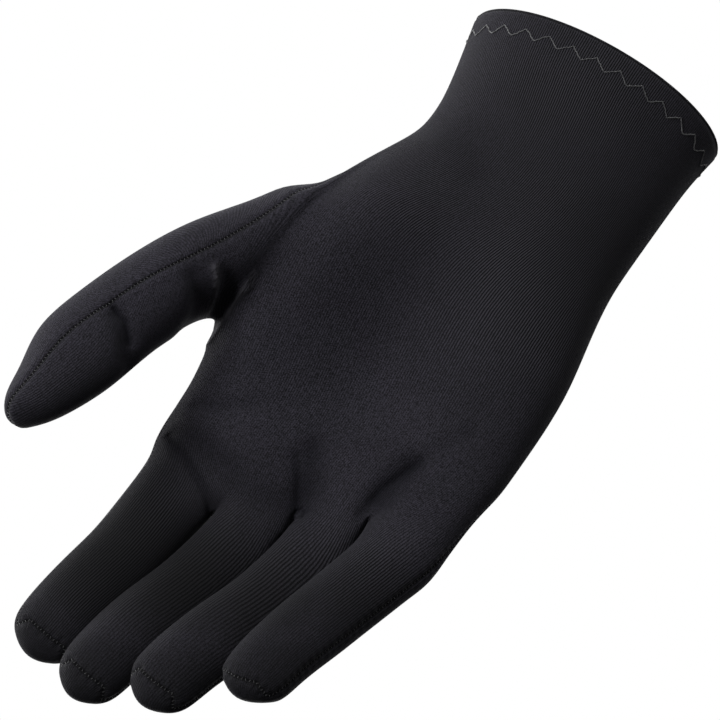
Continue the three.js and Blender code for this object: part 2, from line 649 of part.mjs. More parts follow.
// Turned-up hem: a band inside the cuff and the fold that closes the panels' lower edge.
function hemSolid(mesh) {
  const lower = [...mesh.cuffEdge].map((v) => mesh.points[v]);
  lower.sort((a, b) => Math.atan2(a.y, a.x) - Math.atan2(b.y, b.x));
  const count = lower.length;
  const bandOuter = WALL + SEAM_GAP;
  // Section of the hem: level over the rim, how far inside the outer face, and its taper.
  const section = [
    { z: 0, inset: HEM_ROUNDING },
    { z: HEM_LIP, inset: 0 },
    { z: HEM_LIP, inset: bandOuter },
    { z: HEM_HEIGHT, inset: bandOuter },
    { z: HEM_HEIGHT, inset: bandOuter + WALL },
    { z: HEM_ROUNDING, inset: bandOuter + WALL },
    { z: 0, inset: bandOuter + WALL - HEM_ROUNDING },
  ];
  const points = [];
  for (let i = 0; i < count; i++) {
    const along = lower[(i + 1) % count].clone().sub(lower[(i + count - 1) % count]);
    const out = new THREE.Vector3(along.y, -along.x, 0).normalize();
    for (const { z, inset } of section) {
      points.push(narrowed(lower[i], z).addScaledVector(out, -inset));
    }
  }
  const size = section.length;
  const quads = [];
  for (let i = 0; i < count; i++) {
    for (let k = 0; k < size; k++) {
      const a = i * size + k;
      const b = i * size + ((k + 1) % size);
      const c = ((i + 1) % count) * size + ((k + 1) % size);
      const d = ((i + 1) % count) * size + k;
      quads.push([d, c, b, a]);
    }
  }
  return solid(points, trianglesOf(points, quads));
}

function cloth(name, colour) {
  return new THREE.MeshStandardMaterial({ name, color: colour, roughness: KNIT_ROUGHNESS, metalness: 0 });
}

const surface = settle(subdivide(buildCage()));
pressFolds(surface);
surface.seam = seamPointsOf(surface);
const allRims = rimOf(surface.faces);
surface.cuffEdge = new Set(allRims.next.keys());

const liner = new THREE.Group();
liner.name = "glove_liner";
for (const [name, geometry, colour] of [
  ["palm_panel", panelSolid(surface, "palm_panel"), PANEL_COLOUR],
  ["back_panel", panelSolid(surface, "back_panel"), PANEL_COLOUR],
  ["cuff_hem", hemSolid(surface), HEM_COLOUR],
]) {
  const mesh = new THREE.Mesh(geometry, cloth(name, colour));
  mesh.name = name;
  liner.add(mesh);
}

export default liner;
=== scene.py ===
"""Visual model of a thin stretch-knit glove liner for the right hand, in the form a hand gives it."""
import logging
import math
from dataclasses import dataclass
from enum import Enum
from typing import Callable, NamedTuple, Sequence

import bpy
import numpy as np
from mathutils import Matrix, Vector
from mathutils.bvhtree import BVHTree
from mathutils.kdtree import KDTree


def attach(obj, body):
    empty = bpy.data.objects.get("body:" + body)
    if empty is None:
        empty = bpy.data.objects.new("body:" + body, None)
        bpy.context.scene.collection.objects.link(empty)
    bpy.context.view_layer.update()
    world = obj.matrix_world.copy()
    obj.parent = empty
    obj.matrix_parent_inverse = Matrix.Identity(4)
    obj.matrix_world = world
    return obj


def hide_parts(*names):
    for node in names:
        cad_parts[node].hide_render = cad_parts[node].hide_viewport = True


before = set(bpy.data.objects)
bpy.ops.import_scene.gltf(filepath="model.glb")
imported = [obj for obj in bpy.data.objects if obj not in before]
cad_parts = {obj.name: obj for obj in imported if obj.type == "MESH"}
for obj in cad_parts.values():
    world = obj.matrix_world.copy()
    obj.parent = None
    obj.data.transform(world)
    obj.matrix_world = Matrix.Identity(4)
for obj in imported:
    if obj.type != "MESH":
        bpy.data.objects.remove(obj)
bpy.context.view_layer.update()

LOG = logging.getLogger("glove_liner")
MM = 0.001
TINY = 1e-12
FAR = 1e9
NEAREST = 1e-7
FULL_LEVELS = 3
Colour = tuple[float, float, float, float]


class Panel(Enum):
    """The two cut panels of the liner."""

    PALM = "palm_panel"
    BACK = "back_panel"


class Socket(Enum):
    """Kinds of group socket."""

    FLOAT = "NodeSocketFloat"
    VECTOR = "NodeSocketVector"
    COLOUR = "NodeSocketColor"


@dataclass(frozen=True)
class HandSizes:
    """Sizes that the shares in the tables follow, in metres.

    From cuff_squareness on they are plain numbers: the power of the cross-sections' curve, places
    across the palm, how far a tip stands beyond its last ring, and the share over which joints blend.
    """

    cuff_width: float = 0.078
    cuff_depth: float = 0.058
    palm_breadth: float = 0.088
    palm_thickness: float = 0.030
    palm_length: float = 0.156
    finger_length: float = 0.081
    thumb_width: float = 0.022
    wall: float = 0.001
    seam_gap: float = 0.0002
    hem_height: float = 0.010
    hem_lip: float = 0.001
    flat_breadth: float = 0.100
    cuff_squareness: float = 2.0
    palm_squareness: float = 2.5
    arch_crest: float = 0.35
    slope_centre: float = 0.17
    finger_overshoot: float = 1.25
    thumb_overshoot: float = 0.6
    joint_blend: float = 0.1


class PalmRow(NamedTuple):
    """One row round the cuff and palm. Every value is a share of a hand size."""

    height: float
    set_back: float
    radial: float
    ulnar: float
    depth: float
    palm: float
    slope: float
    arch: float
    arch_thumb: float
    thenar: float
    hollow: float
    turn: float


class Web(NamedTuple):
    """Web between two fingers and the palm column in front of it."""

    column: int
    x: float
    height: float
    set_back: float
    depth: float
    drop: float


class Finger(NamedTuple):
    """One finger: where it starts, its own sizes, and how its three bones lean."""

    name: str
    x: float
    height: float
    set_back: float
    width: float
    thick: float
    length: float
    bones: tuple[float, float, float]
    splay: tuple[float, float, float]
    pitch: tuple[float, float, float]
    roll: float
    seam_drop: float


class FingerSection(NamedTuple):
    """Section of every finger at a share of its length."""

    along: float
    width: float
    thick: float
    tilt: float


class ThumbSection(NamedTuple):
    """Section of the thumb, from the palm to the tip."""

    x: float
    height: float
    forward: float
    width: float
    thick: float
    heading: float
    roll: float


class ThumbTip(NamedTuple):
    """End of the thumb."""

    x: float
    height: float
    forward: float
    spread: float


class Fold(NamedTuple):
    """Groove, or ridge where depth is negative, drawn on the palm side in the front view.

    path holds [share of palm breadth, share of palm length]; width and depth are metres.
    """

    path: tuple[tuple[float, float], ...]
    width: float
    depth: float


class Spot(NamedTuple):
    """Soft round spot in the front view.

    centre holds [share of palm breadth, share of palm length]; radius is a share of palm length.
    """

    centre: tuple[float, float]
    radius: float
    amount: float

class SeamBand(NamedTuple):
    """Groove at a distance from the seam, or ridge where depth is negative, in metres."""

    away: float
    width: float
    depth: float


class Patches(NamedTuple):
    """Soft patches of noise, and the noise values where a patch starts and where it is full."""

    scale: float
    detail: float
    low: float
    high: float


PALM_RING = 20
SEAM_COLUMN = 10
FINGER_RING = 8
THUMB_RING = 12
THUMB_FIRST_ROW = 4
THUMB_LAST_ROW = 8
SPINE_STEPS = 40
THENAR = (0.12, 0.2)
HOLLOW = (0.5, 0.2)
FINGERTIP_WRAP = (0.0, 0.09, 0.22, 0.09)
FINGERTIP_FLAT = 1.06
STRETCH_LIMITS = (0.3, 3)
FRONT_FACING = (0.0, 0.25)
FULL_CREASE = 2.2 * MM
SPOT_EDGE = 2.5
SEAM_FORM = (
    SeamBand(0, 0.8 * MM, 0.4 * MM),
    SeamBand(1.9 * MM, 0.9 * MM, -0.12 * MM),
)
# The hem's fold as [share of the lip's height, share of the wall], from outside to inside.
HEM_OUTER = ((1, 0.0), (0.6, 0.02), (0.25, 0.15), (0.06, 0.45), (0, 0.85))
HEM_INNER = ((0, 0.4), (0.15, 0.8), (0.5, 1))
HEM_DARKNESS = 0.45
# Numbers of the colour sockets of a Mix node, whose names its other kinds of value share.
MIX_COLOURS = (6, 7)
MIX_RESULT = 2
# Values on the cloth's points that the knit's material reads.
CLOTH_VALUES = ("seam_distance", "seam_along", "stretch", "crease", "opened", "darkened", "front")

PALM_ROWS = tuple(PalmRow(*row) for row in (
    (0, 0, 0.504, -0.512, 1.0, 0, 0, 0, 0, 0, 0, 0),
    (0.071, 0, 0.483, -0.48, 0.974, 0, 0, 0, 0, 0, 0, 0),
    (0.167, 0.003, 0.459, -0.46, 0.936, 0.05, 0, 0, 0, 0, 0, 0.003),
    (0.263, 0.013, 0.468, -0.437, 0.92, 0.15, 0, 0, 0.02, 0, 0, 0.013),
    (0.353, 0.029, 0.574, -0.417, 0.966, 0.35, 0, 0.03, 0.06, 0.1, 0, 0.03),
    (0.449, 0.048, 0.618, -0.427, 1.026, 0.55, 0, 0.08, 0.12, 0.3, 0.04, 0),
    (0.551, 0.071, 0.642, -0.441, 1.08, 0.75, 0.02, 0.16, 0.18, 0.42, 0.08, 0),
    (0.654, 0.093, 0.655, -0.431, 1.124, 0.9, 0.05, 0.26, 0.24, 0.3, 0.1, 0),
    (0.768, 0.117, 0.677, -0.412, 1.137, 1, 0.1, 0.38, 0.22, 0.06, 0.1, 0),
    (0.84, 0.135, 0.66, -0.404, 1.067, 1, 0.15, 0.5, 0.12, 0, 0.06, 0),
    (0.92, 0.154, 0.682, -0.37, 1.017, 1, 0.2, 0.6, 0.03, 0, 0, 0),
))
CUFF_COLUMNS = (0, 0.0245, 0.0955, 0.206, 0.345, 0.5, 0.655, 0.794, 0.9045, 0.9755, 1)
PALM_COLUMNS = (0, 0.055, 0.155, 0.277, 0.42, 0.52, 0.65, 0.735, 0.852, 0.95, 1)
WEBS = (
    Web(3, 0.375, 1.058, 0.163, 0.7, 0.03),
    Web(5, 0.144, 0.996, 0.141, 0.7, 0.03),
    Web(7, -0.057, 0.961, 0.09, 0.7, 0.03),
)
FINGERS = (
    Finger("index", 0.51, 1.013, 0.192, 0.264, 0.208, 0.878,
           (0.41, 0.3, 0.29), (8.7, 17.2, 8.6), (12, 4, -5), -6, 0.8),
    Finger("middle", 0.232, 1.03, 0.16, 0.25, 0.202, 1.0,
           (0.355, 0.29, 0.355), (15, 22.7, 12), (5, -3, -10), 0, 0.2),
    Finger("ring", -0.004, 1.015, 0.105, 0.256, 0.196, 1.012,
           (0.36, 0.33, 0.31), (15.5, 23.4, 14), (-1, -8, -13), 8, -0.2),
    Finger("little", -0.222, 0.981, 0.038, 0.249, 0.196, 0.945,
           (0.38, 0.35, 0.27), (18.5, 18, 10), (-6, -11, -14), 32, -2.2),
)
FINGER_SECTIONS = tuple(FingerSection(*row) for row in (
    (0, 1.06, 1.02, 0),
    (0.12, 1.01, 1.0, 0),
    (0.26, 1.0, 1.0, 0),
    (0.4, 0.985, 0.98, 0),
    (0.52, 0.99, 0.99, 0),
    (0.64, 0.96, 0.95, 0),
    (0.76, 0.94, 0.93, 0.005),
    (0.86, 0.92, 0.88, 0.012),
    (0.935, 0.81, 0.7, 0.022),
))
THUMB_SECTIONS = tuple(ThumbSection(*row) for row in (
    (0.69, 0.621, -0.14, 2.48, 1.48, 97, 66),
    (0.783, 0.706, 0.05, 1.92, 1.34, 87, 82),
    (0.852, 0.773, 0.18, 1.57, 1.22, 66, 84),
    (0.922, 0.859, 0.32, 1.26, 1.12, 41, 77),
    (0.98, 0.953, 0.41, 1.22, 1.07, 20, 74),
    (1.024, 1.036, 0.5, 1.25, 1.03, 12, 67),
    (1.046, 1.12, 0.55, 0.88, 0.88, 15, 59),
    (1.075, 1.168, 0.57, 0.67, 0.66, 18, 57),
))
THUMB_TIP = ThumbTip(1.102, 1.209, 0.59, 0.28)

FOLDS = (
    Fold(((0.40, 1.0), (0.65, 0.965)), 3.6 * MM, 1.2 * MM),
    Fold(((0.15, 1.01), (0.34, 1.02)), 3.6 * MM, 0.9 * MM),
    Fold(((0.15, 0.97), (0.2, 0.9)), 4.2 * MM, 1.8 * MM),
    Fold(((-0.06, 0.93), (-0.09, 0.85)), 4.2 * MM, 1.8 * MM),
    Fold(((0.7, 0.79), (0.69, 0.745)), 3.2 * MM, 1.4 * MM),
    Fold(((0.87, 0.99), (0.97, 0.945)), 3.0 * MM, 1.5 * MM),
)
WEB_RIDGE = ((0.772, 0.752), (0.742, 0.765), (0.7, 0.79))
INDEX_FOLD = ((0.63, 0.985), (0.55, 1.01), (0.47, 1.035), (0.4, 1.06))
FINE_FOLDS = (
    Fold(WEB_RIDGE, 1.4 * MM, -1.3 * MM),
    Fold(((0.656, 0.715), (0.662, 0.745), (0.674, 0.815)), 1.7 * MM, -1.3 * MM),
    Fold(((0.81, 0.79), (0.765, 0.805)), 3.2 * MM, 1.4 * MM),
    Fold(((0.712, 0.745), (0.695, 0.775)), 2.4 * MM, 0.3 * MM),
    Fold(((0.99, 0.932), (0.935, 0.944), (0.885, 0.97)), 1.8 * MM, 1.1 * MM),
    Fold(((0.6, 0.925), (0.53, 0.912), (0.45, 0.885), (0.33, 0.85)), 2.0 * MM, 0.3 * MM),
    Fold(((0.25, 0.925), (0.2, 0.955), (0.15, 1.0)), 2.2 * MM, 0.6 * MM),
    Fold(((-0.21, 0.745), (-0.115, 0.832), (-0.05, 0.91), (-0.03, 0.975)), 2.6 * MM, 0.6 * MM),
    Fold(INDEX_FOLD, 1.5 * MM, 0.6 * MM),
    Fold(((0.42, 0.27), (0.3, 0.29), (0.2, 0.34)), 5.0 * MM, 0.5 * MM),
)
FILLED = (
    Fold(((0.675, 0.69), (0.668, 0.65), (0.66, 0.6), (0.65, 0.54)), 6.5 * MM, -2.2 * MM),
)
PRESSED_LINES = (
    Fold(WEB_RIDGE, 0.8 * MM, -0.35 * MM),
    Fold(((0.745, 0.764), (0.7, 0.79)), 0.8 * MM, -0.5 * MM),
    Fold(((0.655, 0.7), (0.664, 0.745), (0.674, 0.81)), 0.9 * MM, -0.35 * MM),
    Fold(((0.663, 0.735), (0.674, 0.81)), 0.9 * MM, -0.55 * MM),
    Fold(((0.985, 0.935), (0.93, 0.945), (0.885, 0.97)), 1.0 * MM, 0.8 * MM),
    Fold(((0.6, 0.928), (0.53, 0.912), (0.45, 0.885)), 2.2 * MM, 0.4 * MM),
    Fold(((0.24, 0.925), (0.2, 0.955), (0.15, 1.0)), 1.3 * MM, 0.4 * MM),
    Fold(((-0.115, 0.832), (-0.05, 0.91), (-0.03, 0.975)), 1.3 * MM, 0.5 * MM),
    Fold(INDEX_FOLD, 1.0 * MM, 0.6 * MM),
)
OPEN_KNIT = (
    Spot((0.66, 1.2), 0.16, 1.0),
    Spot((0.42, 1.18), 0.13, 0.55),
    Spot((0.15, 1.17), 0.12, 0.45),
    Spot((-0.12, 1.1), 0.12, 0.4),
    Spot((-0.2, 0.36), 0.26, 0.7),
    Spot((0.3, 0.4), 0.14, 0.5),
    Spot((0, 0.12), 0.2, 0.6),
)
# Spots where the knit is darker: partly the darker tone of drawn-out knit, partly painted shade on the
# fingers, the ulnar side and the wrist.
DARKENED_AND_SHADED_KNIT = (
    Spot((0.62, 1.22), 0.2, 1.0),
    Spot((0.38, 1.22), 0.18, 1.0),
    Spot((0.12, 1.22), 0.16, 0.85),
    Spot((-0.15, 1.18), 0.14, 0.7),
    Spot((0.75, 1.5), 0.22, 0.8),
    Spot((0.45, 1.55), 0.22, 0.85),
    Spot((0.15, 1.5), 0.2, 0.8),
    Spot((-0.1, 1.4), 0.2, 0.7),
    Spot((-0.3, 0.35), 0.2, 0.5),
    Spot((-0.42, 0.7), 0.2, 0.3),
    Spot((0.15, 0.15), 0.36, 0.4),
)


def mix(low: float, high: float, share: float) -> float:
    """Blends two values.

    Args:
        low: Value at share 0.
        high: Value at share 1.
        share: Where between the two.

    Returns:
        The blended value.
    """
    return low + (high - low) * share


def smoothstep(value: np.ndarray | float, low: float, high: float) -> np.ndarray | float:
    """Rises smoothly from 0 to 1.

    Args:
        value: What is looked at.
        low: Value where the rise starts.
        high: Value where it ends.

    Returns:
        The height of the rise.
    """
    share = np.clip((value - low) / (high - low), 0.0, 1.0)
    return share * share * (3 - 2 * share)


def bump(share: float, shape: tuple[float, float]) -> float:
    """Height of a rounded swelling.

    Args:
        share: Place across the palm.
        shape: Centre and spread of the swelling.

    Returns:
        Height, 1 at the centre.
    """
    return math.exp(-(((share - shape[0]) / shape[1]) ** 2))


def proud(corners: int) -> float:
    """How far a ring of corners stands outside the rounded surface it makes.

    Args:
        corners: Number of corners in the ring.

    Returns:
        The factor on the ring's size.
    """
    return 6 / (4 + 2 * math.cos(2 * math.pi / corners))


def leaning(splay: float, pitch: float) -> Vector:
    """Direction with a lean to the thumb side and a lean to the back.

    Args:
        splay: Lean to the thumb side in degrees.
        pitch: Lean to the back in degrees.

    Returns:
        The unit direction.
    """
    q, p = math.radians(splay), math.radians(pitch)
    return Vector((math.sin(q), math.cos(q) * math.sin(p), math.cos(q) * math.cos(p)))


class Cage:
    """Four-sided faces over points, each face in a panel, with flat cloth coordinates per panel."""

    def __init__(self) -> None:
        """Starts an empty cage."""
        self.points: list[Sequence[float]] = []
        self.flats: dict[Panel, list[tuple[float, float]]] = {panel: [] for panel in Panel}
        self.faces: list[tuple[int, int, int, int]] = []
        self.panels: list[Panel] = []

    def point(self, position: Vector, palm: tuple[float, float], back: tuple[float, float]) -> int:
        """Adds a point.

        Args:
            position: Place in metres.
            palm: Place on the flat palm panel.
            back: Place on the flat back panel.

        Returns:
            The point's number.
        """
        self.points.append(tuple(position))
        self.flats[Panel.PALM].append(palm)
        self.flats[Panel.BACK].append(back)
        return len(self.points) - 1

    def face(self, panel: Panel, *corners: int) -> None:
        """Adds a face.

        Args:
            panel: Panel that the face belongs to.
            corners: Four point numbers.
        """
        self.faces.append(tuple(corners))
        self.panels.append(panel)

    def row(self, lower: Sequence[int], upper: Sequence[int]) -> None:
        """Joins two rings, the first half on the palm panel.

        Args:
            lower: Point numbers of the lower ring.
            upper: Point numbers of the upper ring.
        """
        count = len(lower)
        for i in range(count):
            nxt = (i + 1) % count
            panel = Panel.PALM if i < count / 2 else Panel.BACK
            self.face(panel, lower[i], upper[i], upper[nxt], lower[nxt])


class HandCage:
    """Draws the cage of the whole liner from the tables."""

    def __init__(self, sizes: HandSizes) -> None:
        """Starts the cage.

        Args:
            sizes: Sizes that the shares in the tables follow.
        """
        self.sizes = sizes
        self.cage = Cage()
        self.base = sizes.hem_lip + sizes.seam_gap / 2
        self.spans: dict[str, tuple[float, float]] = {}

    def build(self) -> Cage:
        """Draws the cage.

        Returns:
            The cage with its panels and flat coordinates.
        """
        rows, across = self._palm_rows()
        ring, rings = self._finger_bases(across)
        rows.append(ring)
        for r in range(len(rows) - 1):
            in_thumb = THUMB_FIRST_ROW <= r < THUMB_LAST_ROW
            for c in range(PALM_RING):
                if in_thumb and c in (0, PALM_RING - 1):
                    continue
                nxt = (c + 1) % PALM_RING
                panel = Panel.PALM if c < SEAM_COLUMN else Panel.BACK
                self.cage.face(panel, rows[r][c], rows[r + 1][c], rows[r + 1][nxt], rows[r][nxt])
        for finger, base in zip(FINGERS, rings):
            self._add_finger(finger, base)
        self._add_thumb(self._thumb_hole(rows))
        return self.cage

    def _palm_point(self, row: PalmRow, column: int) -> Vector:
        """Point of a palm row.

        Args:
            row: The row.
            column: Corner, counted round from the thumb seam over the palm side first.

        Returns:
            The point.
        """
        s = self.sizes
        on_front = column <= SEAM_COLUMN
        across = column if on_front else PALM_RING - column
        share = mix(CUFF_COLUMNS[across], PALM_COLUMNS[across], row.palm)
        if across == 0:
            share = row.turn
        breadth = mix(s.cuff_width, s.palm_breadth, row.palm) * proud(PALM_RING)
        depth = row.depth * mix(s.cuff_depth, s.palm_thickness, row.palm) * proud(PALM_RING)
        squareness = mix(s.cuff_squareness, s.palm_squareness, row.palm)
        swell = max(0.0, 1 - abs(2 * share - 1) ** squareness) ** (1 / squareness)
        x = mix(row.radial, row.ulnar, share) * breadth
        y = row.set_back * s.palm_length + (-1 if on_front else 1) * swell * depth / 2
        y -= s.palm_thickness * self._arch(row, share)
        if on_front:
            y -= s.palm_thickness * row.thenar * bump(share, THENAR) * min(1, swell * 2)
            y += s.palm_thickness * row.hollow * bump(share, HOLLOW)
        rise = row.slope * (x - s.slope_centre * s.palm_breadth)
        return Vector((x, y, self.base + row.height * s.palm_length + rise))

    def _arch(self, row: PalmRow, share: float) -> float:
        """Forward curve of the palm's two edges.

        Args:
            row: The row.
            share: Place across the palm.

        Returns:
            The curve, as a share of the palm's thickness.
        """
        crest = self.sizes.arch_crest
        if share < crest:
            return row.arch_thumb * ((crest - share) / crest) ** 2
        return row.arch * ((share - crest) / (1 - crest)) ** 1.5

    def _palm_rows(self) -> tuple[list[list[int | None]], dict[Panel, list[float]]]:
        """Adds the palm rows.

        Returns:
            Point numbers of every row, and the last row's places across the flat panels.
        """
        rows: list[list[int | None]] = []
        flats: dict[Panel, list[float]] = {}
        for r, row in enumerate(PALM_ROWS):
            places = [self._palm_point(row, c) for c in range(PALM_RING)]
            for panel in Panel:
                order = [c if panel is Panel.PALM else (PALM_RING - c) % PALM_RING
                         for c in range(SEAM_COLUMN + 1)]
                steps = [(places[a] - places[b]).length for a, b in zip(order, order[1:])]
                total = sum(steps)
                flats[panel] = [self.sizes.flat_breadth * sum(steps[:i]) / total
                                for i in range(SEAM_COLUMN + 1)]
            is_open = THUMB_FIRST_ROW < r < THUMB_LAST_ROW
            numbers: list[int | None] = []
            for c, place in enumerate(places):
                if is_open and c == 0:
                    numbers.append(None)
                    continue
                across = c if c <= SEAM_COLUMN else PALM_RING - c
                along = place.z - self.base
                numbers.append(self.cage.point(place, (flats[Panel.PALM][across], along),
                                               (flats[Panel.BACK][across], along)))
            rows.append(numbers)
        return rows, flats

    def _lean(self, finger: Finger, along: float, values: Sequence[float]) -> float:
        """Lean of a finger, blended over its joints.

        Args:
            finger: The finger.
            along: Share of its length.
            values: Lean of its three bones in degrees.

        Returns:
            The lean in degrees.
        """
        lean = values[0]
        joint = 0.0
        for bone in range(1, 3):
            joint += finger.bones[bone - 1]
            blend = self.sizes.joint_blend
            lean = mix(lean, values[bone], float(smoothstep(along, joint - blend, joint + blend)))
        return lean

    def _spine(self, finger: Finger, along: float) -> tuple[Vector, Vector]:
        """Follows a finger's middle line.

        Args:
            finger: The finger.
            along: Share of its length.

        Returns:
            Point and direction there.
        """
        s = self.sizes
        length = finger.length * s.finger_length
        point = Vector((finger.x * s.palm_breadth, finger.set_back * s.palm_length,
                        finger.height * s.palm_length))
        for i in range(SPINE_STEPS):
            at = (i + 0.5) / SPINE_STEPS * along
            step = leaning(self._lean(finger, at, finger.splay), self._lean(finger, at, finger.pitch))
            point += step * (along * length / SPINE_STEPS)
        return point, leaning(self._lean(finger, along, finger.splay),
                              self._lean(finger, along, finger.pitch))

    def _finger_point(self, finger: Finger, section: FingerSection, corner: int) -> Vector:
        """Corner of a finger's section.

        Args:
            finger: The finger.
            section: The section.
            corner: Corner, counted from the thumb side over the pad.

        Returns:
            The point.
        """
        s = self.sizes
        point, direction = self._spine(finger, section.along)
        side = (Vector((1, 0, 0)) - direction * direction.x).normalized()
        pad = side.cross(direction)
        angle = 2 * math.pi * corner / FINGER_RING
        turned = angle - math.radians(finger.roll)
        width = finger.width * s.palm_breadth * section.width * proud(FINGER_RING)
        thick = finger.thick * s.palm_breadth * section.thick * proud(FINGER_RING)
        drop = -section.tilt * finger.seam_drop * finger.length * s.finger_length * math.sin(angle)
        return (point + side * (math.cos(turned) * width / 2)
                + pad * (math.sin(turned) * thick / 2) + direction * drop)

    def _finger_flat(self, finger: Finger, corner: int, along: float) -> tuple[float, float]:
        """Place of a finger's corner on either flat panel.

        Args:
            finger: The finger.
            corner: Corner, counted from the thumb side over the pad.
            along: Share of the finger's length.

        Returns:
            Places across and along the panel.
        """
        s = self.sizes
        half = FINGER_RING / 2
        share = (corner if corner <= half else FINGER_RING - corner) / half
        across = mix(*self.spans[finger.name], share)
        return across, finger.height * s.palm_length + along * finger.length * s.finger_length

    def _base_corner(self, finger: Finger, corner: int) -> int:
        """Adds a corner of a finger's first ring that no web gives."""
        flat = self._finger_flat(finger, corner, 0)
        return self.cage.point(self._finger_point(finger, FINGER_SECTIONS[0], corner), flat, flat)

    def _finger_bases(
            self, flats: dict[Panel, list[float]]) -> tuple[list[int | None], list[list[int]]]:
        """Adds the webs and the first ring of each finger.

        Args:
            flats: Places of the palm's last row across the flat panels.

        Returns:
            The palm's top ring and the fingers' first rings.
        """
        s = self.sizes
        ring: list[int | None] = [None] * PALM_RING
        webs = []
        edges = [0.0, *(flats[Panel.PALM][web.column] for web in WEBS), s.flat_breadth]
        self.spans = {finger.name: (edges[f], edges[f + 1]) for f, finger in enumerate(FINGERS)}
        for w, web in enumerate(WEBS):
            x, z = web.x * s.palm_breadth, web.height * s.palm_length
            y = web.set_back * s.palm_length
            reach = web.depth * s.palm_thickness / 2
            low = z - web.drop * s.palm_length
            places = [Vector((x, y - reach, low)), Vector((x, y, z)), Vector((x, y + reach, low))]
            numbers = [self.cage.point(p, (edges[w + 1], p.z), (edges[w + 1], p.z)) for p in places]
            ring[web.column], ring[PALM_RING - web.column] = numbers[0], numbers[2]
            webs.append(numbers)
        rings = []
        for f, finger in enumerate(FINGERS):
            before = webs[f - 1] if f else None
            after = webs[f] if f < len(webs) else None
            shared = {0: (before, 1), 1: (before, 0), 3: (after, 0), 4: (after, 1), 5: (after, 2),
                      7: (before, 2)}
            corners = []
            for corner in range(FINGER_RING):
                web_points, place = shared.get(corner, (None, 0))
                corners.append(web_points[place] if web_points else self._base_corner(finger, corner))
            pad_column = WEBS[f - 1].column + 1 if before else 2
            ring[pad_column], ring[PALM_RING - pad_column] = corners[2], corners[6]
            if not before:
                ring[0], ring[1], ring[PALM_RING - 1] = corners[0], corners[1], corners[7]
            if not after:
                ring[SEAM_COLUMN - 1], ring[SEAM_COLUMN], ring[SEAM_COLUMN + 1] = corners[3:6]
            rings.append(corners)
        return ring, rings

    def _add_finger(self, finger: Finger, base: list[int]) -> None:
        """Adds a finger's rows and its cap, which belongs to the back panel.

        Args:
            finger: The finger.
            base: Point numbers of its first ring.
        """
        lower = base
        for section in FINGER_SECTIONS[1:]:
            is_last = section is FINGER_SECTIONS[-1]
            upper = []
            for i in range(FINGER_RING):
                flat = self._finger_flat(finger, i, section.along)
                over = FINGERTIP_WRAP[i] * self.sizes.finger_length if is_last and i < 4 else 0.0
                upper.append(self.cage.point(self._finger_point(finger, section, i), flat,
                                             (flat[0], flat[1] + over)))
            self.cage.row(lower, upper)
            lower = upper
        centre = self._spine(finger, FINGER_SECTIONS[-1].along)[0]
        tip = self._spine(finger, 1)[0]
        flat = self._finger_flat(finger, 2, FINGERTIP_FLAT)
        peak = self.cage.point(tip + (tip - centre) * self.sizes.finger_overshoot, flat, flat)
        for i in range(1, FINGER_RING, 2):
            self.cage.face(Panel.BACK, lower[i - 1], peak, lower[(i + 1) % FINGER_RING], lower[i])

    def _thumb_hole(self, rows: list[list[int | None]]) -> list[int]:
        """Edge of the opening where the thumb leaves the palm."""
        span = range(THUMB_FIRST_ROW, THUMB_LAST_ROW + 1)
        return [rows[THUMB_FIRST_ROW][0], *(rows[r][1] for r in span), rows[THUMB_LAST_ROW][0],
                *(rows[r][PALM_RING - 1] for r in reversed(span))]

    def _thumb_centre(self, section: ThumbSection | ThumbTip) -> Vector:
        """Centre of a thumb section."""
        s = self.sizes
        return Vector((section.x * s.palm_breadth, -section.forward * s.thumb_width,
                       section.height * s.palm_length))

    def _thumb_corner(self, section: ThumbSection, corner: int, zero: float) -> int:
        """Adds a corner of a thumb section.

        Args:
            section: The section.
            corner: Corner, counted from the thumb seam over the pad.
            zero: Where the thumb's flat coordinates start.

        Returns:
            The point's number.
        """
        s = self.sizes
        heading = math.radians(section.heading)
        outer = Vector((math.cos(heading), 0, -math.sin(heading)))
        angle = 2 * math.pi * corner / THUMB_RING + math.radians(section.roll)
        centre = self._thumb_centre(section)
        stands = s.thumb_width * proud(THUMB_RING) / 2
        place = centre + outer * (math.cos(angle) * section.width * stands)
        place.y -= math.sin(angle) * section.thick * stands
        half = math.pi * (section.width + section.thick) * s.thumb_width / 4
        folded = corner if corner <= THUMB_RING / 2 else THUMB_RING - corner
        out = (1 - 4 * folded / THUMB_RING) * half / 2
        flat = (zero - centre.x - out * outer.x, centre.z + out * outer.z)
        return self.cage.point(place, flat, flat)

    def _add_thumb(self, hole: list[int]) -> None:
        """Adds the thumb's rows and its cap, which the seam crosses from side to side.

        Args:
            hole: Point numbers round the opening in the palm.
        """
        s = self.sizes
        points, flats = self.cage.points, self.cage.flats[Panel.PALM]
        front = hole[1:6]
        zero = sum(points[v][0] + flats[v][0] for v in front) / len(front)
        lower = hole
        for section in THUMB_SECTIONS:
            upper = [self._thumb_corner(section, i, zero) for i in range(THUMB_RING)]
            self.cage.row(lower, upper)
            lower = upper
        centre, tip = self._thumb_centre(THUMB_SECTIONS[-1]), self._thumb_centre(THUMB_TIP)
        half = THUMB_RING // 2
        side = (Vector(points[lower[0]]) - Vector(points[lower[half]])).normalized()
        ridge = []
        for place in (1, 0, -1):
            lift = (tip - centre) * (1 + s.thumb_overshoot / (1 if place == 0 else 2))
            p = centre + lift + side * (place * THUMB_TIP.spread * s.thumb_width)
            flat = (zero - p.x, p.z)
            ridge.append(self.cage.point(p, flat, flat))
        middle = [lower[0], *ridge, lower[half]]
        for i in range(4):
            low, high = ((THUMB_RING - 1 - k) % THUMB_RING for k in (i, i + 1))
            self.cage.face(Panel.PALM, middle[i], middle[i + 1], lower[i + 2], lower[i + 1])
            self.cage.face(Panel.BACK, lower[low], lower[high], middle[i + 1], middle[i])


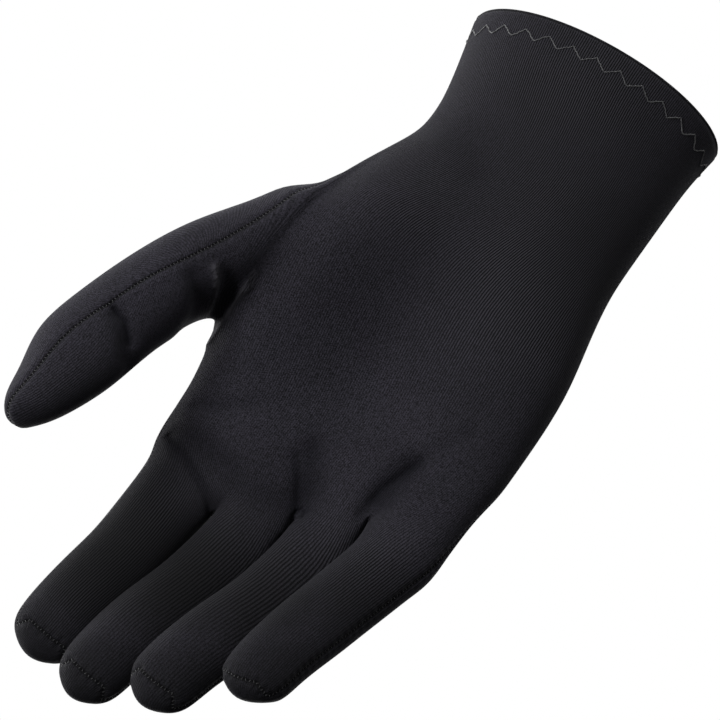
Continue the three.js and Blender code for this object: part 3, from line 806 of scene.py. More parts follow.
class Rounding:
    """Catmull-Clark rounding of numbered faces, of any values on their points."""

    def __init__(self, faces: np.ndarray, count: int) -> None:
        """Numbers the edges.

        Args:
            faces: Four point numbers for each face.
            count: Number of points.
        """
        self.faces = faces
        self.count = count
        after = np.roll(faces, -1, axis=1)
        low, high = np.minimum(faces, after), np.maximum(faces, after)
        keys, self.edge_of = np.unique(low.astype(np.int64) * count + high, return_inverse=True)
        self.edge_of = self.edge_of.reshape(faces.shape)
        self.ends = np.stack([keys // count, keys % count], axis=1)

    def _counts(self, mask: np.ndarray) -> tuple[np.ndarray, np.ndarray, np.ndarray]:
        """Counts what meets where.

        Args:
            mask: Faces that count.

        Returns:
            Faces on each edge, faces on each point, and which edges are a rim.
        """
        on_edge = np.bincount(self.edge_of[mask].ravel(), minlength=len(self.ends))
        on_point = np.bincount(self.faces[mask].ravel(), minlength=self.count)
        return on_edge, on_point, on_edge == 1

    def _rims(self, values: np.ndarray, rim: np.ndarray) -> tuple[np.ndarray, np.ndarray]:
        """Looks along the rim.

        Args:
            values: Values on the points.
            rim: Which edges are the rim.

        Returns:
            Sum of every point's two neighbours, and which points are on the rim.
        """
        total = np.zeros_like(values)
        hits = np.zeros(self.count)
        ends = self.ends[rim]
        np.add.at(total, ends, values[ends[:, ::-1]])
        np.add.at(hits, ends, 1)
        return total * (2 / np.maximum(hits, 1))[:, None], hits > 0

    def refine(self, values: np.ndarray, mask: np.ndarray) -> np.ndarray:
        """Values on the points of the next finer mesh.

        Args:
            values: Values on the points of this one.
            mask: Faces that count.

        Returns:
            Values on old points, then face centres, then edges.
        """
        on_edge, on_point, rim = self._counts(mask)
        centres = values[self.faces].mean(axis=1)
        pair = values[self.ends].sum(axis=1)
        both, faces_round = np.zeros_like(pair), np.zeros_like(values)
        np.add.at(both, self.edge_of[mask], centres[mask][:, None])
        np.add.at(faces_round, self.faces[mask], centres[mask][:, None])
        edges = np.where((on_edge == 2)[:, None], (pair + both) / 4, pair / 2)
        edges_round, edge_hits = np.zeros_like(values), np.zeros(self.count)
        used = on_edge > 0
        np.add.at(edges_round, self.ends[used], pair[used][:, None] / 2)
        np.add.at(edge_hits, self.ends[used], 1)
        n = np.maximum(on_point, 1)[:, None]
        moved = (faces_round / n + 2 * edges_round / np.maximum(edge_hits, 1)[:, None]
                 + (n - 3) * values) / n
        neighbours, on_rim = self._rims(values, rim)
        moved = np.where(on_rim[:, None], (6 * values + neighbours) / 8, moved)
        moved = np.where((on_point == 0)[:, None], values, moved)
        return np.vstack([moved, centres, edges])

    def settle(self, values: np.ndarray, mask: np.ndarray) -> np.ndarray:
        """Values where endless rounding would bring them.

        Args:
            values: Values on the points.
            mask: Faces that count.

        Returns:
            The settled values.
        """
        on_edge, on_point, rim = self._counts(mask)
        across, along = np.zeros_like(values), np.zeros_like(values)
        faces, ends = self.faces[mask], self.ends[on_edge > 0]
        np.add.at(across, faces, values[np.roll(faces, 2, axis=1)])
        np.add.at(along, ends, values[ends[:, ::-1]])
        n = np.maximum(on_point, 1)[:, None]
        settled = (n * n * values + 4 * along + across) / (n * (n + 5))
        neighbours, on_rim = self._rims(values, rim)
        settled = np.where(on_rim[:, None], (4 * values + neighbours) / 6, settled)
        return np.where((on_point == 0)[:, None], values, settled)

    def finer_faces(self) -> np.ndarray:
        """Faces of the next finer mesh.

        Returns:
            Four times as many faces, in the order of refine's points.
        """
        centre = self.count + np.arange(len(self.faces))
        edge = self.count + len(self.faces) + self.edge_of
        parts = [np.stack([self.faces[:, k], edge[:, k], centre, edge[:, (k + 3) % 4]], axis=1)
                 for k in range(4)]
        return np.stack(parts, axis=1).reshape(-1, 4)


class ClothSurface:
    """Fine outer surface of the liner, with its seams, folds and flat coordinates."""

    def __init__(self, sizes: HandSizes, levels: int) -> None:
        """Rounds the cage, measures the cloth and presses its folds.

        Args:
            sizes: Sizes of the hand.
            levels: How often the cage is rounded.
        """
        self.sizes = sizes
        cage = HandCage(sizes).build()
        self.faces = np.array(cage.faces)
        self.points = np.array(cage.points, dtype=float)
        self.flats = {panel: np.array(cage.flats[panel], dtype=float) for panel in Panel}
        self.owner = np.array([panel is Panel.PALM for panel in cage.panels])
        for _ in range(levels):
            rounding = Rounding(self.faces, len(self.points))
            self._round(rounding.refine)
            self.faces = rounding.finer_faces()
            self.owner = np.repeat(self.owner, 4)
        self.rounding = Rounding(self.faces, len(self.points))
        self._round(self.rounding.settle)
        self.normals = self._outward()
        self.seam = self._seam_chain()
        self._measure_seam()
        self.stretch = self._stretch()
        self._press()
        self.opened = self._covered(OPEN_KNIT)
        # darkened carries both the darker drawn-out knit and the painted shade of these spots.
        self.darkened = self._covered(DARKENED_AND_SHADED_KNIT)
        self.normals = self._outward()

    def _round(self, step: Callable[[np.ndarray, np.ndarray], np.ndarray]) -> None:
        """Moves the points and both flat layouts by one step of rounding."""
        self.flats = {panel: step(self.flats[panel], self.mask(panel)) for panel in Panel}
        self.points = step(self.points, np.ones(len(self.faces), bool))

    def mask(self, panel: Panel) -> np.ndarray:
        """Faces of a panel.

        Args:
            panel: The panel.

        Returns:
            True for each of its faces.
        """
        return self.owner if panel is Panel.PALM else ~self.owner

    def _outward(self) -> np.ndarray:
        """Works out the outward direction.

        Returns:
            The unit direction at every point.
        """
        corners = self.points[self.faces]
        face = np.cross(corners[:, 1] - corners[:, 3], corners[:, 2] - corners[:, 0])
        total = np.zeros_like(self.points)
        np.add.at(total, self.faces, face[:, None])
        return total / np.maximum(np.linalg.norm(total, axis=1, keepdims=True), TINY)

    def _seam_chain(self) -> list[int]:
        """Follows the seam between the panels.

        Returns:
            Point numbers from the cuff over every tip.
        """
        ends, edge_of = self.rounding.ends, self.rounding.edge_of
        palm = np.bincount(edge_of[self.owner].ravel(), minlength=len(ends))
        back = np.bincount(edge_of[~self.owner].ravel(), minlength=len(ends))
        links: dict[int, list[int]] = {}
        for a, b in ends[(palm == 1) & (back == 1)]:
            links.setdefault(int(a), []).append(int(b))
            links.setdefault(int(b), []).append(int(a))
        starts = [v for v, near in links.items() if len(near) == 1]
        start = starts[int(np.argmax(self.points[starts, 0]))]
        chain = [start]
        last = -1
        while True:
            onward = [v for v in links[chain[-1]] if v != last]
            if not onward or len(chain) > len(links) + 1:
                break
            last = chain[-1]
            chain.append(onward[0])
        return chain

    def _measure_seam(self) -> None:
        """Distance of every point from the seam, and how far along the seam it lies."""
        places = self.points[self.seam]
        run = np.concatenate([[0], np.cumsum(np.linalg.norm(np.diff(places, axis=0), axis=1))])
        knots = np.stack([places[:-1], (places[:-1] + places[1:]) / 2], axis=1).reshape(-1, 3)
        knot_run = np.stack([run[:-1], (run[:-1] + run[1:]) / 2], axis=1).ravel()
        tree = KDTree(len(knots))
        for k, knot in enumerate(knots):
            tree.insert(Vector(knot), k)
        tree.balance()
        found = [tree.find(Vector(p)) for p in self.points]
        self.seam_run = run
        self.seam_distance = np.array([hit[2] for hit in found])
        self.seam_along = knot_run[[hit[1] for hit in found]]

    def _stretch(self) -> np.ndarray:
        """Measures how far the cloth is drawn out across its ribs.

        Returns:
            The ratio at every point.
        """
        total = np.zeros(len(self.points))
        hits = np.zeros(len(self.points))
        for panel in Panel:
            faces = self.faces[self.mask(panel)]
            p, f = self.points[faces], self.flats[panel][faces]
            d1, d2 = p[:, 2] - p[:, 0], p[:, 3] - p[:, 1]
            f1, f2 = f[:, 2] - f[:, 0], f[:, 3] - f[:, 1]
            area = f1[:, 0] * f2[:, 1] - f2[:, 0] * f1[:, 1]
            area = np.where(np.abs(area) < TINY, TINY, area)
            across = (d1 * f2[:, 1:2] - d2 * f1[:, 1:2]) / area[:, None]
            ratio = np.clip(np.linalg.norm(across, axis=1), *STRETCH_LIMITS)
            np.add.at(total, faces, ratio[:, None])
            np.add.at(hits, faces, 1)
        return total / np.maximum(hits, 1)

    def _press(self) -> None:
        """Presses the folds and the seam groove into the cloth."""
        flat = self.points[:, [0, 2]]
        self.front = smoothstep(-self.normals[:, 1], *FRONT_FACING)
        inwards = self._drawn(FOLDS + FINE_FOLDS, flat) * self.front
        # crease drives the painted shade in the folds and the painted highlight on the ridges.
        self.crease = np.clip(inwards / FULL_CREASE, -1, 1)
        inwards += self._drawn(FILLED, flat) * self.front
        for band in SEAM_FORM:
            inwards += band.depth * np.exp(-(((self.seam_distance - band.away) / band.width) ** 2))
        self.points = self.points - self.normals * inwards[:, None]

    def _drawn(self, folds: Sequence[Fold], flat: np.ndarray) -> np.ndarray:
        """Adds up folds.

        Args:
            folds: The folds.
            flat: Points in the front view.

        Returns:
            How far they press the cloth in at every point.
        """
        s = self.sizes
        inwards = np.zeros(len(flat))
        for fold in folds:
            path = np.array(fold.path) * (s.palm_breadth, s.palm_length)
            away = np.full(len(flat), FAR)
            for a, b in zip(path, path[1:]):
                run = b - a
                share = np.clip(((flat - a) @ run) / (run @ run), 0, 1)
                away = np.minimum(away, np.linalg.norm(flat - a - share[:, None] * run, axis=1))
            inwards += fold.depth * np.exp(-((away / fold.width) ** 2))
        return inwards

    def _covered(self, spots: Sequence[Spot]) -> np.ndarray:
        """Lays soft spots over the cloth.

        Args:
            spots: The spots.

        Returns:
            How far they cover it, 0 to 1 at every point.
        """
        s = self.sizes
        covered = np.zeros(len(self.points))
        for spot in spots:
            centre = np.array(spot.centre) * (s.palm_breadth, s.palm_length)
            radius = spot.radius * s.palm_length
            away = np.linalg.norm(self.points[:, [0, 2]] - centre, axis=1) / radius
            covered = np.maximum(covered, spot.amount * np.exp(-(away ** SPOT_EDGE)))
        return covered


class FlatMap:
    """Finds the place on the cloth above a point of a flat panel."""

    def __init__(self, surface: ClothSurface, panel: Panel) -> None:
        """Lays the panel flat.

        Args:
            surface: The cloth.
            panel: The panel.
        """
        self.faces = surface.faces[surface.mask(panel)]
        self.points, self.normals, self.flat = surface.points, surface.normals, surface.flats[panel]
        vertices = [Vector((u, v, 0)) for u, v in self.flat]
        self.tree = BVHTree.FromPolygons(vertices, self.faces.tolist())

    def find(self, u: float, v: float) -> tuple[Vector, Vector] | None:
        """Looks up a place.

        Args:
            u: Place across the panel in metres.
            v: Place along it.

        Returns:
            Point and outward direction, or None beyond the panel.
        """
        hit = self.tree.ray_cast(Vector((u, v, 1)), Vector((0, 0, -1)))
        if hit[0] is None:
            return None
        face = self.faces[hit[2]]
        away = np.linalg.norm(self.flat[face] - (u, v), axis=1)
        weight = 1 / np.maximum(away, NEAREST) ** 2
        weight /= weight.sum()
        return (Vector(weight @ self.points[face]),
                Vector(weight @ self.normals[face]).normalized())


class PieceMesh:
    """Collects points, faces and values on them, and makes the object."""

    def __init__(self, name: str) -> None:
        """Starts an empty mesh.

        Args:
            name: Name of the object.
        """
        self.name = name
        self.points: list[np.ndarray] = []
        self.faces: list[list[int]] = []
        self.count = 0

    def add(self, points: np.ndarray, faces: Sequence[Sequence[int]]) -> None:
        """Adds a part.

        Args:
            points: Its points.
            faces: Its faces, counted from its own first point.
        """
        self.points.append(np.asarray(points, dtype=float))
        self.faces.extend([[v + self.count for v in face] for face in faces])
        self.count += len(points)

    def make(self, material: bpy.types.Material, flat: np.ndarray | None = None,
             values: dict[str, np.ndarray] | None = None) -> bpy.types.Object:
        """Makes the object.

        Args:
            material: Its material.
            flat: Flat coordinates on its points.
            values: Named values on its points.

        Returns:
            The new object.
        """
        mesh = bpy.data.meshes.new(self.name)
        mesh.from_pydata(np.vstack(self.points).tolist(), [], self.faces)
        mesh.polygons.foreach_set("use_smooth", [True] * len(mesh.polygons))
        if flat is not None:
            layer = mesh.uv_layers.new(name="flat")
            corner = np.empty(len(mesh.loops), dtype=np.int32)
            mesh.loops.foreach_get("vertex_index", corner)
            layer.data.foreach_set("uv", flat[corner].astype(np.float32).ravel())
        for name, value in (values or {}).items():
            attribute = mesh.attributes.new(name, "FLOAT", "POINT")
            attribute.data.foreach_set("value", np.asarray(value, dtype=np.float32))
        mesh.materials.append(material)
        mesh.validate()
        mesh.update()
        piece = bpy.data.objects.new(self.name, mesh)
        bpy.context.scene.collection.objects.link(piece)
        return piece


@dataclass(frozen=True)
class ClothPanel:
    """One knitted panel: its outer face, the same face one wall in, and its edges."""

    surface: ClothSurface
    panel: Panel

    def build(self, material: bpy.types.Material) -> bpy.types.Object:
        """Makes the panel.

        Args:
            material: The knit.

        Returns:
            The panel's object.
        """
        surface, s = self.surface, self.surface.sizes
        faces = surface.faces[surface.mask(self.panel)]
        used = np.unique(faces)
        number = np.full(len(surface.points), -1)
        number[used] = np.arange(len(used))
        own = number[faces]
        outer = surface.points[used]
        inner = outer - surface.normals[used] * s.wall
        lowest = outer[:, 2] < s.hem_lip + s.seam_gap
        inner[lowest, 2] = outer[lowest, 2]
        count = len(used)
        mesh = PieceMesh(self.panel.value)
        mesh.add(np.vstack([outer, inner]),
                 [*own.tolist(), *(own[:, ::-1] + count).tolist(), *self._edges(own, count)])
        return mesh.make(material, np.tile(surface.flats[self.panel][used], (2, 1)),
                         {name: np.tile(getattr(surface, name)[used], 2) for name in CLOTH_VALUES})

    def _edges(self, own: np.ndarray, count: int) -> list[list[int]]:
        """Joins the outer and inner face round the panel's edge.

        Args:
            own: Faces of the outer face.
            count: Number of its points.

        Returns:
            The faces between them.
        """
        after = np.roll(own, -1, axis=1)
        forward = {(int(a), int(b)) for a, b in zip(own.ravel(), after.ravel())}
        return [[b, a, a + count, b + count] for a, b in sorted(forward) if (b, a) not in forward]


@dataclass(frozen=True)
class CuffHem:
    """Turned-up hem: the fold over the cuff edge and the band inside it."""

    surface: ClothSurface

    def build(self, material: bpy.types.Material) -> bpy.types.Object:
        """Makes the hem.

        Args:
            material: The knit of the hem.

        Returns:
            The hem's object.
        """
        surface, s = self.surface, self.surface.sizes
        rounding = surface.rounding
        single = np.bincount(rounding.edge_of.ravel(), minlength=len(rounding.ends)) == 1
        ring = surface.points[np.unique(rounding.ends[single])]
        ring = ring[np.argsort(np.arctan2(ring[:, 1], ring[:, 0]))]
        count = len(ring)
        along = np.roll(ring, -1, axis=0) - np.roll(ring, 1, axis=0)
        out = np.stack([along[:, 1], -along[:, 0], np.zeros(count)], axis=1)
        out /= np.linalg.norm(out, axis=1, keepdims=True)
        band = s.wall + s.seam_gap
        section = [(height * s.hem_lip, inset * s.wall) for height, inset in HEM_OUTER]
        section += [(height * s.hem_lip, band + inset * s.wall) for height, inset in HEM_INNER]
        section += [(s.hem_height, band + s.wall), (s.hem_height, band), (s.hem_lip, band)]
        points = [self._narrowed(ring, z) - out * inset for z, inset in section]
        faces = []
        for k in range(len(section)):
            lower, upper = k * count, (k + 1) % len(section) * count
            for i in range(count):
                j = (i + 1) % count
                faces.append([lower + i, upper + i, upper + j, lower + j])
        mesh = PieceMesh("cuff_hem")
        mesh.add(np.vstack(points), faces)
        run = np.concatenate([[0], np.cumsum(np.linalg.norm(np.diff(ring, axis=0), axis=1))])
        # Along the cloth, the fold runs on downwards while it turns in.
        flat = np.vstack([np.stack([run, np.full(count, z - 2 * inset)], axis=1)
                          for z, inset in section])
        zeros = np.zeros(len(flat))
        values = dict.fromkeys(CLOTH_VALUES, zeros)
        values |= {"seam_distance": zeros + 1, "stretch": zeros + 1, "darkened": zeros + HEM_DARKNESS}
        return mesh.make(material, flat, values)

    def _narrowed(self, ring: np.ndarray, z: float) -> np.ndarray:
        """Brings the cuff edge up to a height, as the cuff narrows.

        Args:
            ring: Points of the cuff edge.
            z: The height.

        Returns:
            The points there.
        """
        s = self.surface.sizes
        first, second = PALM_ROWS[:2]
        up = (z - s.hem_lip - s.seam_gap / 2) / (second.height * s.palm_length)
        share = (ring[:, 0] / s.cuff_width - first.ulnar) / (first.radial - first.ulnar)
        low, high = mix(first.ulnar, second.ulnar, up), mix(first.radial, second.radial, up)
        x = mix(low, high, share) * s.cuff_width
        y = ring[:, 1] * mix(first.depth, second.depth, up) / first.depth
        return np.stack([x, y, np.full(len(ring), z)], axis=1)


class Thread:
    """Sewing thread laid along paths as round tubes."""

    sides = 6
    end_taper = 0.5

    def __init__(self, name: str, radius: float) -> None:
        """Starts the thread.

        Args:
            name: Name of the object.
            radius: Its radius in metres.
        """
        self.radius = radius
        self.mesh = PieceMesh(name)

    def lay(self, path: Sequence[Vector], outward: Sequence[Vector]) -> None:
        """Lays one length of thread.

        Args:
            path: Points on its middle line.
            outward: Outward direction at each.
        """
        rings = []
        last = len(path) - 1
        for i, (p, up) in enumerate(zip(path, outward)):
            along = (path[min(i + 1, last)] - path[max(i - 1, 0)]).normalized()
            side = along.cross(up).normalized()
            rise = side.cross(along)
            radius = self.radius * (self.end_taper if i in (0, last) else 1)
            rings.extend(p + (side * math.cos(t) + rise * math.sin(t)) * radius
                         for t in (2 * math.pi * k / self.sides for k in range(self.sides)))
        faces = []
        for i in range(last):
            low, high = i * self.sides, (i + 1) * self.sides
            faces.extend([low + k, low + j, high + j, high + k]
                         for k, j in ((k, (k + 1) % self.sides) for k in range(self.sides)))
        faces.append(list(reversed(range(self.sides))))
        faces.append([last * self.sides + k for k in range(self.sides)])
        self.mesh.add(np.array([tuple(p) for p in rings]), faces)

    def build(self, material: bpy.types.Material) -> bpy.types.Object:
        """Makes the thread.

        Args:
            material: The thread's material.

        Returns:
            The thread's object.
        """
        return self.mesh.make(material)


@dataclass(frozen=True)
class SeamStitches:
    """Short threads that cross the seam between the panels.

    slant is how far a stitch leans along the seam, as a share of its reach, and arch holds
    [share of the reach, lift in metres] for its points.
    """

    surface: ClothSurface
    spacing: float = 1.2 * MM
    reach: float = 0.42 * MM
    radius: float = 0.1 * MM
    slant: float = 0.35
    arch: tuple[tuple[float, float], ...] = (
        (-1, 0.0), (-0.6, 0.12 * MM), (0, 0.16 * MM), (0.6, 0.12 * MM), (1, 0.0))

    def build(self, material: bpy.types.Material) -> bpy.types.Object:
        """Makes the stitches.

        Args:
            material: The thread's material.

        Returns:
            The object that holds them all.
        """
        surface, run = self.surface, self.surface.seam_run
        places, normals = surface.points[surface.seam], surface.normals[surface.seam]
        thread = Thread("seam_stitches", self.radius)
        for k in range(int(run[-1] / self.spacing)):
            at = (k + 0.5) * self.spacing
            i = max(min(int(np.searchsorted(run, at)) - 1, len(run) - 2), 0)
            t = (at - run[i]) / max(run[i + 1] - run[i], TINY)
            p = Vector(mix(places[i], places[i + 1], t))
            up = Vector(mix(normals[i], normals[i + 1], t)).normalized()
            along = Vector(places[i + 1] - places[i]).normalized()
            side = along.cross(up).normalized() + along * self.slant * (1 if k % 2 else -1)
            path = [p + side * (self.reach * share) + up * lift for share, lift in self.arch]
            thread.lay(path, [up] * len(path))
        return thread.build(material)


@dataclass(frozen=True)
class HemZigzag:
    """Row of zigzag thread that holds the hem.

    margin is the share of the flat breadth left open at each seam, dips counts how often the thread
    sinks into the knit on each leg, and sunk is the share of its radius that stands out there.
    """

    surface: ClothSurface
    height: float = 6.2 * MM
    swing: float = 1.5 * MM
    period: float = 7.7 * MM
    step: float = 0.32 * MM
    radius: float = 0.17 * MM
    margin: float = 0.004
    dips: int = 3
    sunk: float = 0.1

    def build(self, material: bpy.types.Material) -> bpy.types.Object:
        """Makes the zigzag.

        Args:
            material: The thread's material.

        Returns:
            The zigzag's object.
        """
        thread = Thread("hem_zigzag", self.radius)
        s = self.surface.sizes
        # Half of the way round the oval cuff, which is the length of the row on one panel.
        half_girth = math.pi * math.sqrt((s.cuff_width ** 2 + s.cuff_depth ** 2) / 8)
        count = int(half_girth / self.step)
        for panel in Panel:
            flat_map = FlatMap(self.surface, panel)
            path, outward = [], []
            for i in range(count + 1):
                share = mix(self.margin, 1 - self.margin, i / count)
                phase = (share * half_girth / self.period) % 1
                wave = 4 * abs(phase - 0.5) - 1
                found = flat_map.find(share * s.flat_breadth, self.height + self.swing * wave)
                if found is None:
                    continue
                point, up = found
                dip = abs(math.sin(math.pi * (2 * phase % 1) * self.dips))
                path.append(point + up * (self.radius * mix(self.sunk, 1, math.sqrt(dip))))
                outward.append(up)
            thread.lay(path, outward)
        return thread.build(material)


@dataclass(frozen=True)
class Nodes:
    """Small helper that adds and joins nodes in one tree."""

    tree: bpy.types.NodeTree

    def add(self, kind: str, **settings: object) -> bpy.types.Node:
        """Adds a node.

        Args:
            kind: Type name of the node.
            settings: Properties to set on it.

        Returns:
            The node.
        """
        node = self.tree.nodes.new(kind)
        for name, value in settings.items():
            setattr(node, name, value)
        return node

    def put(self, source: object, target: bpy.types.NodeSocket) -> None:
        """Joins an output to an input, or sets the input.

        Args:
            source: Output socket or plain value.
            target: Input socket.
        """
        if isinstance(source, bpy.types.NodeSocket):
            self.tree.links.new(source, target)
        else:
            target.default_value = source
    def feed(self, node: bpy.types.Node, values: dict[str, object]) -> bpy.types.Node:
        """Joins or sets several inputs of a node.

        Args:
            node: The node.
            values: Output socket or plain value for each named input.

        Returns:
            The node.
        """
        for name, value in values.items():
            self.put(value, node.inputs[name])
        return node
    def math(self, operation: str, *values: object, clamp: bool = False) -> bpy.types.NodeSocket:
        """Adds a math node.

        Args:
            operation: Its operation.
            values: Its inputs.
            clamp: Whether its result stays between 0 and 1.

        Returns:
            Its output.
        """
        node = self.add("ShaderNodeMath", operation=operation, use_clamp=clamp)
        for value, target in zip(values, node.inputs):
            self.put(value, target)
        return node.outputs[0]

    def vector(self, operation: str, *values: object) -> bpy.types.NodeSocket:
        """Adds a vector math node.

        Args:
            operation: Its operation.
            values: Its inputs.

        Returns:
            Its output, a plain value for a length or a dot product.
        """
        node = self.add("ShaderNodeVectorMath", operation=operation)
        for value, target in zip(values, node.inputs):
            self.put(value, target)
        return node.outputs["Value" if operation in ("LENGTH", "DOT_PRODUCT") else "Vector"]

    def blend(self, share: object, low: object, high: object) -> bpy.types.NodeSocket:
        """Mixes two colours.

        Args:
            share: Share of the second.
            low: First colour.
            high: Second colour.

        Returns:
            The mixed colour.
        """
        node = self.add("ShaderNodeMix", data_type="RGBA")
        self.put(share, node.inputs["Factor"])
        for colour, socket in zip((low, high), MIX_COLOURS):
            self.put(colour, node.inputs[socket])
        return node.outputs[MIX_RESULT]

    def noise(self, vector: object, scale: float, detail: float = 2.0) -> bpy.types.NodeSocket:
        """Adds noise.

        Args:
            vector: Where it is read.
            scale: Its scale.
            detail: Its detail.

        Returns:
            Its value.
        """
        node = self.add("ShaderNodeTexNoise")
        self.feed(node, {"Vector": vector, "Scale": scale, "Detail": detail})
        return node.outputs["Factor" if "Factor" in node.outputs else "Fac"]

    def ramp(self, value: object, low: float, high: float) -> bpy.types.NodeSocket:
        """Rises from 0 to 1 between two values.

        Args:
            value: What is looked at.
            low: Value where the rise starts.
            high: Value where it ends.

        Returns:
            The height of the rise.
        """
        node = self.add("ShaderNodeMapRange", interpolation_type="SMOOTHSTEP")
        self.feed(node, {"Value": value, "From Min": low, "From Max": high})
        return node.outputs["Result"]

    def patches(self, vector: object, form: Patches) -> bpy.types.NodeSocket:
        """Adds soft patches of noise.

        Args:
            vector: Where they are read.
            form: Their size and edges.

        Returns:
            How full a patch is, 0 to 1.
        """
        return self.ramp(self.noise(vector, form.scale, form.detail), form.low, form.high)


def new_material(name: str) -> tuple[bpy.types.Material, Nodes, bpy.types.Node]:
    """Makes a material.

    Args:
        name: Its name.

    Returns:
        The material, its nodes and its shader.
    """
    material = bpy.data.materials.new(name)
    material.use_nodes = True
    return material, Nodes(material.node_tree), material.node_tree.nodes["Principled BSDF"]


class GroupShader:
    """Base of a shared node group with named inputs and outputs."""

    name = "group"
    inputs: tuple[tuple[str, Socket], ...] = ()
    outputs: tuple[tuple[str, Socket], ...] = ()

    def __init__(self) -> None:
        """Makes the group with its sockets, and draws its nodes."""
        self.tree = bpy.data.node_groups.new(self.name, "ShaderNodeTree")
        for side, sockets in (("INPUT", self.inputs), ("OUTPUT", self.outputs)):
            for name, kind in sockets:
                self.tree.interface.new_socket(name=name, in_out=side, socket_type=kind.value)
        self.nodes = Nodes(self.tree)
        self.start = self.nodes.add("NodeGroupInput")
        self.end = self.nodes.add("NodeGroupOutput")
        self.fill()

    def fill(self) -> None:
        """Draws the group's nodes."""
        raise NotImplementedError

    def use(self, nodes: Nodes, values: dict[str, object]) -> bpy.types.Node:
        """Puts the group into a material.

        Args:
            nodes: Nodes of the material.
            values: What goes into each input.

        Returns:
            The group's node.
        """
        return nodes.feed(nodes.add("ShaderNodeGroup", node_tree=self.tree), values)


class KnitRelief(GroupShader):
    """Height of the knitted ribs and loops.

    rib_height and loop_height hold the height on slack cloth and what full stretch adds to it.
    """

    name = "KnitRelief"
    inputs = (("Flat", Socket.VECTOR), ("Place", Socket.VECTOR), ("Rib Pitch", Socket.FLOAT),
              ("Loop Pitch", Socket.FLOAT), ("Stretch", Socket.FLOAT))
    outputs = (("Height", Socket.FLOAT), ("Rib", Socket.FLOAT), ("Loop", Socket.FLOAT))
    wander_scale = 260.0
    wander_turns = 0.35
    rib_edges = (0.12, 0.78)
    rib_height = (0.6, 0.35)
    loop_height = (0.3, -0.15)
    fuzz_scale = 2600.0
    fuzz_height = 0.3

    def fill(self) -> None:
        """Draws ribs across, loops along, and a little unevenness."""
        n, end = self.nodes, self.end
        flat, place, rib_pitch, loop_pitch, stretch = tuple(self.start.outputs)[:5]
        parts = n.add("ShaderNodeSeparateXYZ")
        n.put(flat, parts.inputs[0])
        wander = n.math("SUBTRACT", n.noise(flat, self.wander_scale, 1.0), 0.5)
        turn = n.math("ADD", n.math("DIVIDE", parts.outputs[0], rib_pitch),
                      n.math("MULTIPLY", wander, self.wander_turns))
        wave = n.math("COSINE", n.math("MULTIPLY", turn, 2 * math.pi))
        rib = n.ramp(n.math("MULTIPLY_ADD", wave, 0.5, 0.5), *self.rib_edges)
        offset = n.math("MULTIPLY", n.math("MODULO", n.math("FLOOR", turn), 2.0), math.pi)
        loops = n.math("DIVIDE", parts.outputs[1], loop_pitch)
        loop = n.math("SINE", n.math("ADD", n.math("MULTIPLY", loops, 2 * math.pi), offset))
        loop = n.math("MULTIPLY_ADD", loop, 0.5, 0.5)
        height = n.math("MULTIPLY", n.noise(place, self.fuzz_scale, 2.0), self.fuzz_height)
        for part, (slack, added) in ((rib, self.rib_height), (loop, self.loop_height)):
            firm = n.math("MULTIPLY_ADD", stretch, added, slack)
            height = n.math("MULTIPLY_ADD", part, firm, height)
        n.feed(end, {"Height": height, "Rib": rib, "Loop": loop})


